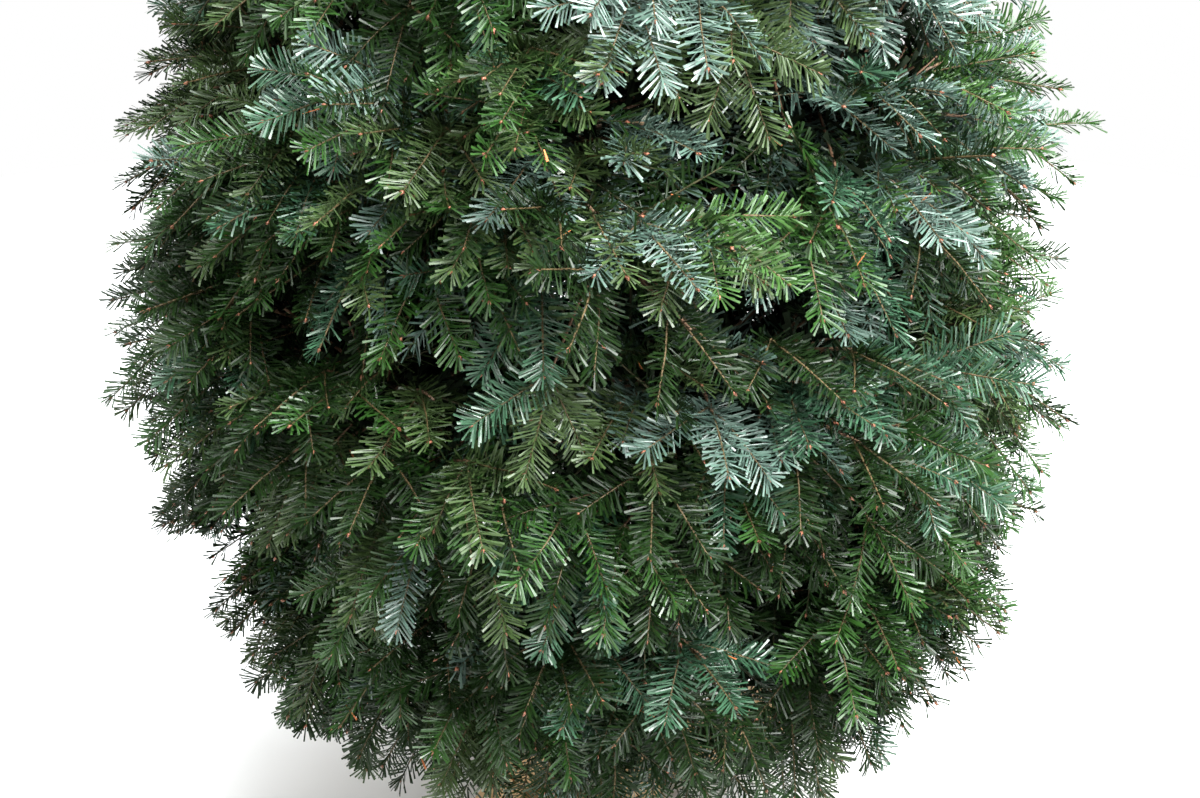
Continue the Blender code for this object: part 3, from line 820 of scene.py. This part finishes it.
def tone_at(point, draw):
    """The colour of a frond, partly random tone and partly painted light: silvery and bluer high up and to
    the lit side as a painted sheen, and deeper low down and away from it as painted shade.
    """
    high = min(1.0, max(0.0, (point.z - 0.35) / 0.75))
    lit_side = 0.5 + 0.5 * max(-1.0, min(1.0, point.x / 0.4))
    # Painted light: silver and blue grow with height and towards the lamp-lit +X side as a painted sheen, and
    # deep grows low down and towards -X as painted shade; moss leans to -X at mid height.
    weights = {
        "deep": 6.1 * (1 - high) ** 1.8 + 0.9 - 1.1 * lit_side,
        "forest": 1.1 - 0.5 * high + 0.5 * lit_side,
        "blue": 0.06 + 0.3 * high + (0.2 + 0.7 * high) * lit_side,
        "silver": 0.01 + 4.0 * high**3 * (0.1 + lit_side**1.7),
        "moss": 1.3 - 1.0 * lit_side - 0.15 * high * lit_side + 2.4 * high * (1 - high) * (1 - lit_side),
        "fresh": 0.17,
    }
    return draw.choices(list(weights), weights=[max(0.05, weight) for weight in weights.values()])[0]


def side_twigs(points, axes, swings, lift, roll, lengths, draw):
    """An inner twig from each point of a limb, to its two sides by turns."""
    for count, point in enumerate(points):
        inner_roots.append(point)
        swing = draw.uniform(*swings) * (1 if count % 2 else -1)
        twig_axes = turned(axes, swing, draw.uniform(-lift, lift), draw.uniform(-roll, roll) if roll else 0.0)
        sprout(INNER, "inner", point, twig_axes, draw.uniform(*lengths), draw)


def grow_mass(whorl, number):
    """One mass of foliage: its stem, its fronds, and the inner twigs on its stem and its bough."""
    bearing = bough_bearing(whorl, number)
    reach = crown_radius(rim_height(whorl + 0.5))
    line = bough_line(whorl, bearing)
    heading = (line[-1] - line[-2]).normalized()
    root = line[-1] if whorl < BARE_WHORLS else line[0]
    stem_end = outward(bearing) * STEM_REACH * reach
    stem_end.z = (tier_floor(whorl, STEM_REACH * reach) + tier_floor(whorl + 1, STEM_REACH * reach)) / 2
    fork = root + heading * STEM_LEAD
    thickness = bough_radius(whorl, 1.0)
    stem = along_line([root, fork, stem_end], 20)
    stem_shapes.append(limb(stem, [thickness * share for share in STEM_TAPER], 8, bark_draw))
    rolls = random.Random(3000 + 20 * whorl + number)
    finer = random.Random(7000 + 20 * whorl + number)
    for place, tip, direction in twigs_of(whorl, number, reach, bearing):
        tip = settled(tip)
        twig_start = fork.lerp(stem_end, place)
        axes = facing(direction, rolls.uniform(-0.35, 0.35))
        leaving = (stem_end - fork).normalized() * 0.8 + (tip - twig_start).normalized()
        frond(twig_start, leaving.normalized(), tip, axes, tone_at(tip, finer), finer)
    if whorl < BARE_WHORLS:
        bough = along_line(line, 24)
        bough_axes = axes_of(bough[-1] - bough[0], UP)
        places = [bough[5 + round(1.8 * place)] for place in range(BOUGH_TWIGS)]
        side_twigs(places, bough_axes, (0.5, 1.5), 1.0, 0.0, (0.08, 0.11), finer)
    stem_axes = axes_of(np.array(stem_end - fork), UP)
    places = [np.array(fork.lerp(stem_end, (place + 0.6) / 15.5)) for place in range(STEM_TWIGS)]
    side_twigs(places, stem_axes, (0.35, 1.3), 0.8, 0.5, (0.09, 0.13), finer)


foliage_nodes = ["foliage_leader"]
stem_shapes = []
bark_draw = np.random.default_rng(31)
for whorl, boughs in enumerate(WHORLS):
    for number in range(boughs):
        foliage_nodes.append(f"foliage_{whorl + 1}_{number + 1}")
        grow_mass(whorl, number)


# ---------------------------------------------------------------- leader and its twigs
# The leader is the trunk's own last shoot, straight and upright. Short twigs stand round it in three rings
# and point up and out.

BUD_INSET = 0.012  # from the leader's tip to the top of its wood
LEADER_RADII = (TRUNK_TOP_RADIUS, 0.0055, 0.0022)
TOP_RINGS = ((1.745, 5, 0.55), (1.835, 4, 0.72), (1.915, 3, 0.9))  # (height, twigs, climb)


def top_twigs():
    """Yields the short twigs round the leader, lowest first."""
    seed = random.Random(77)
    for height, count, climb in TOP_RINGS:
        for number in range(count):
            bearing = 9 * height + number * math.tau / count + seed.uniform(-0.15, 0.15)
            tip = outward(bearing) * (crown_radius(height) * seed.uniform(0.92, 1.05) + 0.01)
            tip.z = height + seed.uniform(-0.012, 0.02)
            place = (height - 0.9 * math.hypot(tip.x, tip.y) - TRUNK_TOP) / (TREE_HEIGHT - TRUNK_TOP)
            yield max(0.08, place), tip, outward(bearing, climb + seed.uniform(-0.1, 0.1))


leader_foot = Vector((0, 0, TRUNK_TOP))
leader_top = Vector((0, 0, TREE_HEIGHT - SPRAY_LENGTH * 0.4))
leader_line = along_line([leader_foot, Vector((0, 0, TREE_HEIGHT - BUD_INSET))], 24)
stem_shapes.append(limb(leader_line, LEADER_RADII, 8, bark_draw))
rolls = random.Random(99)
rolls.uniform(-0.35, 0.35)  # the leader's own
leader_draw = random.Random(7999)
for place, tip, direction in top_twigs():
    axes = facing(direction, rolls.uniform(-0.35, 0.35))
    tone = tone_at(tip, leader_draw)
    frond(leader_foot.lerp(leader_top, place), direction, tip, axes, tone, leader_draw)
inner_roots.extend(np.array(trunk_centre(height)) for height in np.arange(0.36, TRUNK_TOP, 0.012))


# ---------------------------------------------------------------- branches that close the crown
# More side branches from the same limbs, wherever a layer of the crown or its inside is still thin, and a few
# strong shoots that have outgrown the rest. New shoots that end up under the others are shaded ones.

SHADE_DEPTH = 0.086  # below the crown's surface, where shoots are shaded
# Deeper than this the twigs get the near-black inner needles, which are painted shade.
DARK_DEPTH = 0.175  # and where only the sparse inner needles are left
GAP_FOOT = 0.29
GAP_TOP = 1.92
GAP_RISE = 0.62  # under 1, so that fewer places are tried high up, where the crown is narrow
GAP_BATCH = 60  # places tried between two rounds of gathering the new shoots
GAP_LAYERS = (  # (places tried, share of the crown's radius, size of a gap, what grows there)
    (9000, 0.93, 0.041, NEW),
    (8000, 0.85, 0.037, SHADED),
    (3000, 0.71, 0.047, SHADED),
)
FORK_DISTANCES = (0.085, 0.27)  # from a gap to the fork that fills it
INSIDE_PROBES = 7000
INSIDE_TOP = 1.7
INSIDE_SHARES = (0.08, 0.72)  # of the crown's radius: where they start, and how far out they reach from there
INSIDE_GAP = 0.039
OUTGROWN = (  # tips of the strong shoots
    (0.503, -0.02, 0.870),
    (0.497, -0.03, 0.672),
    (0.514, 0.01, 0.607),
    (0.508, -0.05, 0.560),
    (-0.516, 0.0, 0.630),
)
OUTGROWN_DISTANCE = 0.13  # from such a tip to its fork, at least
FAR = 9.0
LEADER_SHOOTS = 4
LEADER_SHOOT_LENGTH = 0.1
LEADER_SHOOT_STEP = 0.098


def fork_near(target, clearance):
    """The nearest fork that is at least this far from a place."""
    away = np.linalg.norm(fork_points - target, axis=1)
    return forks[int(np.argmin(np.where(away < clearance, FAR, away)))]


def fill_gaps(draw, probes, share_out, gap, kind):
    """Grows one more forked side branch wherever no new shoot has come near this layer of the crown yet."""
    for probe in range(probes):
        share = (probe + 0.5) / probes
        height = GAP_FOOT + (GAP_TOP - GAP_FOOT) * (1 - (1 - share) ** GAP_RISE)
        bearing = probe * math.pi * (3 - math.sqrt(5))
        target = outward(bearing) * crown_radius(height) * share_out
        target = np.array(settled(Vector((target.x, target.y, height))))
        if probe % GAP_BATCH == 0:
            known = np.array(covered)
            start = len(covered)
        near = np.linalg.norm(known - target, axis=1).min()
        if covered[start:]:
            near = min(near, np.linalg.norm(np.array(covered[start:]) - target, axis=1).min())
        if near < gap:
            continue
        fork, fork_axes = fork_near(target, FORK_DISTANCES[0])
        along = target - fork
        distance = np.linalg.norm(along)
        if distance > FORK_DISTANCES[1]:
            continue
        axes = axes_of(along, fork_axes[:, 2] + 0.2 * np.array(outward(bearing)))
        tone = tone_at(Vector(target), draw)
        branch, branch_axes = sprout(OLD, tone, fork, axes, min(0.12, distance - 0.05), draw, sag=0.02)
        reach = np.array(outward(bearing, climb_at((height - CROWN_FOOT) / TIER_RISE)))
        branch_axes = axes_of(branch_axes[:, 0] + reach, branch_axes[:, 2])
        forked_end(tone, branch, branch_axes, 0.090, hang_at(height), draw, kind)


def fill_inside(draw):
    """Grows one more twig wherever the inside of the crown is still bare."""
    roots = np.array([point for point, _ in forks] + inner_roots)
    near = np.array([shoot.middle() for shoot in shoots])
    added = []
    for _ in range(INSIDE_PROBES):
        height = draw.uniform(CROWN_FOOT + 0.02, INSIDE_TOP)
        radius = crown_radius(height) * (INSIDE_SHARES[0] + INSIDE_SHARES[1] * math.sqrt(draw.random()))
        target = np.array(outward(draw.uniform(0, math.tau)) * radius)
        target[2] = height
        gap = INSIDE_GAP * min(1.0, 1.3 - 0.3 * height)
        if np.linalg.norm(near - target, axis=1).min() < gap:
            continue
        if added and np.linalg.norm(np.array(added) - target, axis=1).min() < gap:
            continue
        root = roots[int(np.argmin(np.linalg.norm(roots - target, axis=1)))]
        along = target - root
        if np.linalg.norm(along) < 0.01:
            continue
        axes = axes_of(along, np.array((0.1, 0.2, 1.0)))
        length = min(0.15, np.linalg.norm(along) + 0.04)
        depth = depth_inside(target)
        if depth > DARK_DEPTH:
            sprout(INNER, "inner", root, axes, length, draw)
        else:
            tone = tone_at(Vector(target), draw)
            sprout(NEW if depth > SHADE_DEPTH else OLD, tone, root, axes, min(0.12, length), draw)
        added.append(target)


def reach_out(draw):
    """Grows the few strong shoots that stand out beyond the crown's surface."""
    for target in OUTGROWN:
        fork, fork_axes = fork_near(target, OUTGROWN_DISTANCE)
        axes = axes_of(np.array(target) - fork, fork_axes[:, 2])
        length = max(0.03, np.linalg.norm(target - fork) - 0.1)
        branch, branch_axes = sprout(OLD, "forest", fork, axes, length, draw, sag=0.0)
        forked_end("forest", branch, branch_axes, 0.1, 0.0, draw)


fork_points = np.array([point for point, _ in forks])
for number, layer in enumerate(GAP_LAYERS):
    fill_gaps(random.Random(8123 + number), *layer)
fill_inside(random.Random(8124))
reach_out(random.Random(8125))
for index, shoot in enumerate(shoots):
    if shoot.kind == NEW and depth_inside(shoot.middle()) > SHADE_DEPTH:
        shoots[index] = shoot._replace(kind=SHADED)

# The needled shoots of the leader, each turned about it against the last.
upright = np.array(((0.0, 1.0, 0.0), (0.0, 0.0, 1.0), (1.0, 0.0, 0.0)))
for place in range(LEADER_SHOOTS):
    root = np.array((0.0, 0.0, TREE_HEIGHT - BUD_INSET - LEADER_SHOOT_STEP * (place + 1)))
    spun = turned(upright, 0.0, 0.0, 0.8 * place)
    buds = 3 if place == 0 else 0
    sprout(UPRIGHT, "forest", root, spun, LEADER_SHOOT_LENGTH, leader_draw, sag=0.0, buds=buds)


# ---------------------------------------------------------------- limbs inside the foliage
# The stems and twigs that carry the fronds: the boughs' own thin brown bark, each running on without a joint.

for path, radii in limbs:
    stem_shapes.append(limb(path[::3], radii, 4, bark_draw, caps=(False, True)))
add_piece("foliage_limbs", join(stem_shapes), bough_bark, foliage_nodes, smooth=True)


# ---------------------------------------------------------------- needles and the shoots' wood
# New shoots are straw-brown. Flat blunt needles stand along them in two side ranks and a shorter upper brush
# that is parted over the shoot, and they close to a tuft round the buds. Older wood carries fewer.

SHOOT_ROOT_RADIUS = 0.0013
SHOOT_TIP_RADIUS = 0.0008
RANKS = {  # (needles a metre, angles at the shoot's root and tip, lift, its spread, length, width, taper)
    NEW: (
        (290, (70, 50), 12, 14, 0.0245, 0.0020, 0.12),
        (200, (60, 38), 57, 21, 0.0190, 0.0018, 0.12),
        (105, (64, 42), -26, 16, 0.0185, 0.0020, 0.1),
    ),
    SHADED: (
        (135, (70, 46), 6, 14, 0.0240, 0.0027, 0.12),
        (85, (56, 34), 56, 22, 0.0185, 0.0026, 0.1),
        (45, (62, 40), -28, 16, 0.0180, 0.0026, 0.1),
    ),
    OLD: (
        (141, (78, 60), 8, 14, 0.0245, 0.0025, 0.0),
        (77, (66, 50), 48, 18, 0.0155, 0.0024, 0.0),
    ),
    INNER: (
        (67, (76, 45), 5, 25, 0.031, 0.0060, 0.1),
        (38, (66, 45), 55, 22, 0.025, 0.0060, 0.0),
    ),
}
TUFTS = {NEW: 8, SHADED: 3}  # needles round the end bud
TUFT_LENGTHS = (0.0145, 0.0185)
TUFT_WIDTH = 0.0018
LEADER_LIFTS = (-70, -42, -14, 14, 42, 70)  # of the ranks all round the leader
LEADER_RANK = (17, (62, 44), 10, 0.0215, 0.0021, 0.1)  # (needles, angles, spread, length, width, taper)
# The deep tone, dealt out mostly low down and to -X, is in part painted shade; the silver and blue, dealt out
# mostly high up and to the lit +X side, are in part a painted sheen.
NEEDLE_FINISHES = {  # (colour, roughness, specular level)
    "deep": ((0.0058, 0.0168, 0.0030), 0.38, 0.22),
    "forest": ((0.0132, 0.0460, 0.0060), 0.38, 0.46),
    "blue": ((0.0210, 0.0620, 0.0310), 0.38, 0.62),
    "silver": ((0.0490, 0.0900, 0.0690), 0.41, 0.75),
    "moss": ((0.0295, 0.0530, 0.0150), 0.38, 0.38),
    "fresh": ((0.0270, 0.0700, 0.0135), 0.38, 0.42),
    # Near-black and matte: painted shade on the sparse old needles inside the crown.
    "inner": ((0.0060, 0.0110, 0.0045), 0.8, 0.1),
}
SHOOT_COLOURS = {  # (kinds of shoot, colour of their thin bark)
    "new_shoots": ((NEW, UPRIGHT), (0.078, 0.054, 0.022)),
    # The shaded shoots' bark is a darker copy of the new shoots' bark: painted shade.
    "shaded_shoots": ((SHADED,), (0.042, 0.040, 0.016)),
    "old_shoots": ((OLD, INNER), (0.100, 0.054, 0.030)),
}


def blades(roots, headings, faces, lengths, widths, twists):
    """Flat needles, each of two triangles: narrow at the root, a little twisted, and blunt."""
    headings = headings / np.linalg.norm(headings, axis=1)[:, None]
    sides = np.cross(faces, headings)
    sides /= np.linalg.norm(sides, axis=1)[:, None]
    uppers = np.cross(headings, sides)
    tip_sides = sides * np.cos(twists)[:, None] + uppers * np.sin(twists)[:, None]
    tips = roots + headings * lengths[:, None]
    half = widths[:, None] / 2
    foot, head = sides * half * 0.6, tip_sides * half
    points = np.stack((roots - foot, roots + foot, tips + head, tips - head), axis=1).reshape(-1, 3)
    one = np.array(((0, 1, 2), (0, 2, 3)))
    return points, (one[None] + 4 * np.arange(len(roots))[:, None, None]).reshape(-1, 3)


def rank(draw, count, length, side, angles, lift, lift_spread, needle, width, taper):
    """One rank of needles along a shoot on +X: angles are from the shoot at its root and at its tip."""
    t = (np.arange(count) + draw.uniform(0.2, 0.8, count)) / count
    open_angle = np.radians(angles[0] + (angles[1] - angles[0]) * t**2.2 + draw.normal(0, 4.0, count))
    raised = np.radians(lift + draw.normal(0, lift_spread, count))
    roots = np.column_stack((t * length * 0.975, np.zeros(count), np.zeros(count)))
    out = np.sin(open_angle)
    headings = np.column_stack((np.cos(open_angle), side * out * np.cos(raised), out * np.sin(raised)))
    roots += headings * (0, 1, 1) * SHOOT_TIP_RADIUS
    tipped = -0.55 * np.sin(raised) + draw.normal(0, 0.35, count)
    faces = np.column_stack((tipped, -side * np.sin(raised), np.ones(count)))
    faces[:, 1] += draw.normal(0, 0.4, count)
    size = (1 - taper * t**2) * (0.72 + 0.28 * np.minimum(1.0, t / 0.1)) * draw.uniform(0.9, 1.08, count)
    return blades(roots, headings, faces, needle * size, np.full(count, width), draw.normal(0, 0.8, count))


def tuft(draw, length, count):
    """The needles that close round a shoot's end bud."""
    angle = np.linspace(-2.2, 2.2, count) + draw.normal(0, 0.2, count)
    open_angle = np.radians(draw.uniform(12, 52, count))
    out = np.sin(open_angle)
    headings = np.column_stack((np.cos(open_angle), np.sin(angle) * out, np.cos(angle) * out * 0.8 + 0.05))
    roots = np.repeat(np.array(((length * 0.97, 0.0, 0.0),)), count, axis=0)
    faces = np.column_stack((np.zeros(count), draw.normal(0, 0.4, count), np.ones(count)))
    sizes = draw.uniform(*TUFT_LENGTHS, count)
    return blades(roots, headings, faces, sizes, np.full(count, TUFT_WIDTH), np.zeros(count))


def needles_of(kind, length, seed):
    """The needles of one shoot: ranks to both sides, or all round the leader, and a tuft at its end."""
    draw = np.random.default_rng(seed)
    if kind == UPRIGHT:
        count, angles, *rest = LEADER_RANK
        sides = [(lift, side) for lift in LEADER_LIFTS for side in (1, -1)]
        return join([rank(draw, count, length, side, angles, lift, *rest) for lift, side in sides])
    parts = []
    for side in (1, -1):
        for density, *rest in RANKS[kind]:
            parts.append(rank(draw, round(density * length), length, side, *rest))
    if kind in TUFTS:
        parts.append(tuft(draw, length, TUFTS[kind]))
    return join(parts)


def bare_twig(length, root_radius, tip_radius, rings):
    """The thin three-sided wood of one shoot."""
    line = [(length * i / (rings - 1), 0.0, 0.0) for i in range(rings)]
    return limb(line, (root_radius, tip_radius), 3, np.random.default_rng(5), 0.0, (False, False))


def scattered(template, length, items):
    """Copies of a template, one for each shoot: stretched, bent, turned and moved into place."""
    points, faces = template
    origins = np.array([item.origin for item in items])
    axes = np.array([item.axes for item in items])
    stretch = np.array([item.stretch for item in items])[:, None]
    sag = np.array([item.sag for item in items])[:, None]
    sweep = np.array([item.sweep for item in items])[:, None]
    x, y, z = points.T
    bend = (x**2 / length)[None]
    local = np.stack((x * stretch, y + sweep * bend, z - sag * bend), axis=-1)
    placed = np.einsum("kij,knj->kni", axes, local) + origins[:, None]
    shift = len(points) * np.arange(len(items))[:, None, None]
    return placed.reshape(-1, 3), (faces[None] + shift).reshape(-1, 3)


def all_copies(templates, items):
    """Copies of the templates for all these shoots, each by its kind and variant."""
    parts = []
    for key, template in templates.items():
        alike = [item for item in items if (item.kind, item.variant) == key]
        if alike:
            parts.append(scattered(template, template_lengths[key], alike))
    return join(parts)


def plain_material(name, colour, roughness, specular=0.5):
    """A material of one colour."""
    material, shader, _ = new_material(name, roughness, specular)
    shader.inputs["Base Color"].default_value = (*colour, 1.0)
    return material


needle_templates = {}
twig_templates = {}
template_lengths = {}
for index, length in enumerate(SHOOT_LENGTHS):
    for variant in range(index * SHOOT_VARIANTS, (index + 1) * SHOOT_VARIANTS):
        for kind, seed, rings in ((NEW, 100, 3), (SHADED, 150, 2)):
            needle_templates[kind, variant] = needles_of(kind, length, seed + variant)
            twig_templates[kind, variant] = bare_twig(length, SHOOT_ROOT_RADIUS, SHOOT_TIP_RADIUS, rings)
            template_lengths[kind, variant] = length
for variant in range(SHOOT_VARIANTS):
    for kind, length, radius, rings in (
        (OLD, OLD_LENGTH, 0.0017, 3),
        (INNER, INNER_LENGTH, 0.0020, 2),
        (UPRIGHT, SHOOT_LENGTHS[0], 0.0024, 3),
    ):
        needle_templates[kind, variant] = needles_of(kind, length, 200 + variant)
        twig_templates[kind, variant] = bare_twig(length, radius, 0.8 * radius, rings)
        template_lengths[kind, variant] = length

for tone, finish in NEEDLE_FINISHES.items():
    name = "needles_" + tone
    needles = plain_material(name, *finish)
    toned = [item for item in shoots if item.tone == tone]
    half = len(toned) // 2
    add_piece(name + "_1", all_copies(needle_templates, toned[:half]), needles, foliage_nodes)
    add_piece(name + "_2", all_copies(needle_templates, toned[half:]), needles, foliage_nodes)
for name, (kinds, colour) in SHOOT_COLOURS.items():
    shoot_bark = plain_material(name, colour, roughness=0.6, specular=0.35)
    wood = all_copies(twig_templates, [item for item in shoots if item.kind in kinds])
    add_piece(name, wood, shoot_bark, foliage_nodes, smooth=True)


# ---------------------------------------------------------------- buds and dead needles
# Blunt resinous buds, red-brown, in threes at the shoots' tips. A few needles have died and turned orange,
# and lie caught where they fell on the fronds.

BUD_DEPTH = 0.075  # below the crown's surface, where the buds are out of sight
BUD_RED = (0.265, 0.100, 0.055)
DEAD_NEEDLES = {NEW: 130, SHADED: 420}
DEAD_LENGTHS = (0.013, 0.019)
DEAD_WIDTH = 0.0019
RUST = (0.40, 0.125, 0.038)

bud_ring = [(0.35, 0.5 * math.cos(turn), 0.5 * math.sin(turn)) for turn in (0.5, 2.6, 4.7)]
bud_points = np.array([(-0.3, 0.0, 0.0), *bud_ring, (1.3, 0.0, 0.0)])
bud_faces = np.array(((0, 2, 1), (0, 3, 2), (0, 1, 3), (4, 1, 2), (4, 2, 3), (4, 3, 1)))
shown = [bud for bud in bud_places if depth_inside(bud[0]) < BUD_DEPTH]
parts = [(bud_points * size @ axes.T + place, bud_faces) for place, axes, size in shown]
bud_scales = plain_material("bud_scales", BUD_RED, roughness=0.45)
add_piece("buds", join(parts), bud_scales, foliage_nodes, smooth=True)

draw = random.Random(4242)
roots, headings, faces = [], [], []
for kind, count in DEAD_NEEDLES.items():
    for item in draw.sample([item for item in shoots if item.kind == kind], count):
        roots.append(item.origin + item.axes @ (draw.uniform(0.01, 0.08), draw.uniform(-0.01, 0.01), 0.004))
        headings.append([draw.uniform(-1, 1), draw.uniform(-1, 1), draw.uniform(-0.7, 0.2)])
        faces.append([draw.uniform(-0.4, 0.4), draw.uniform(-0.4, 0.4), 1.0])
roots, headings, faces = np.array(roots), np.array(headings), np.array(faces)
lengths = np.array([draw.uniform(*DEAD_LENGTHS) for _ in roots])
fallen = blades(roots, headings, faces, lengths, np.full(len(roots), DEAD_WIDTH), np.full(len(roots), 0.4))
rust = plain_material("dead_needles", RUST, roughness=0.55)
add_piece("dead_needles", fallen, rust, foliage_nodes)


# ---------------------------------------------------------------- floor, light and camera
# A plain pale studio floor, four soft lamps and a dim even light from all round, and a camera that looks down
# a little on the middle of the crown from close by.

CAMERA_PLACE = (0.013, -1.67, 1.33)
CAMERA_AIM = (0.013, 0.0, 0.55)
CAMERA_LENS = 50.0
CAMERA_SENSOR = 36.0
FLOOR_RADIUS = 3.0
FLOOR_SIDES = 96
FLOOR_GREY = (0.72, 0.72, 0.72)
ROUND_LIGHT = (0.29, 0.30, 0.30, 1.0)
BACKDROP_WHITE = (1.0, 1.0, 1.0, 1.0)
LAMPS = {  # (place, aim, side, watts, colour)
    "key_lamp": ((1.35, -1.4, 2.6), (0.15, 0.0, 1.2), 1.5, 355.0, (0.99, 0.99, 0.99)),
    "top_lamp": ((0.3, 0.1, 3.4), (0.0, 0.0, 0.9), 2.6, 420.0, (0.94, 0.98, 1.0)),
    "left_lamp": ((-1.3, -1.6, 2.1), (-0.15, 0.0, 1.0), 1.4, 36.0, (1.0, 0.98, 0.94)),
    "rear_lamp": ((-0.2, 2.3, 2.4), (0.0, 0.0, 1.0), 1.6, 75.0, (1.0, 0.99, 0.97)),
}


def place_towards(item, place, aim):
    """Puts a lamp or a camera in its place, and turns it to what it is aimed at."""
    scene.collection.objects.link(item)
    item.location = place
    item.rotation_euler = (Vector(aim) - Vector(place)).to_track_quat("-Z", "Y").to_euler()


scene = bpy.context.scene
scene.view_settings.view_transform = "Standard"
floor_mesh = bpy.data.meshes.new("floor")
turns = np.arange(FLOOR_SIDES) * math.tau / FLOOR_SIDES
floor_rim = [(FLOOR_RADIUS * math.cos(turn), FLOOR_RADIUS * math.sin(turn), 0.0) for turn in turns]
floor_mesh.from_pydata(floor_rim, [], [tuple(range(FLOOR_SIDES))])
floor_mesh.materials.append(plain_material("pale_floor", FLOOR_GREY, roughness=0.9, specular=0.1))
floor = bpy.data.objects.new("floor", floor_mesh)
scene.collection.objects.link(floor)

world = bpy.data.worlds.new("soft_studio")
scene.world = world
world.use_nodes = True
seen = Signal(world.node_tree).add("ShaderNodeLightPath", out=0)
glow = seen.choose(ROUND_LIGHT, BACKDROP_WHITE)
world.node_tree.links.new(glow.socket, world.node_tree.nodes["Background"].inputs["Color"])

for name, (place, aim, side, power, colour) in LAMPS.items():
    light = bpy.data.lights.new(name, "AREA")
    light.shape = "SQUARE"
    light.size = side
    light.energy = power
    light.color = colour
    lamp = bpy.data.objects.new(name, light)
    lamp.visible_camera = False
    place_towards(lamp, place, aim)

camera = bpy.data.objects.new("camera", bpy.data.cameras.new("camera"))
camera.data.lens = CAMERA_LENS
camera.data.sensor_width = CAMERA_SENSOR
place_towards(camera, CAMERA_PLACE, CAMERA_AIM)
scene.camera = camera
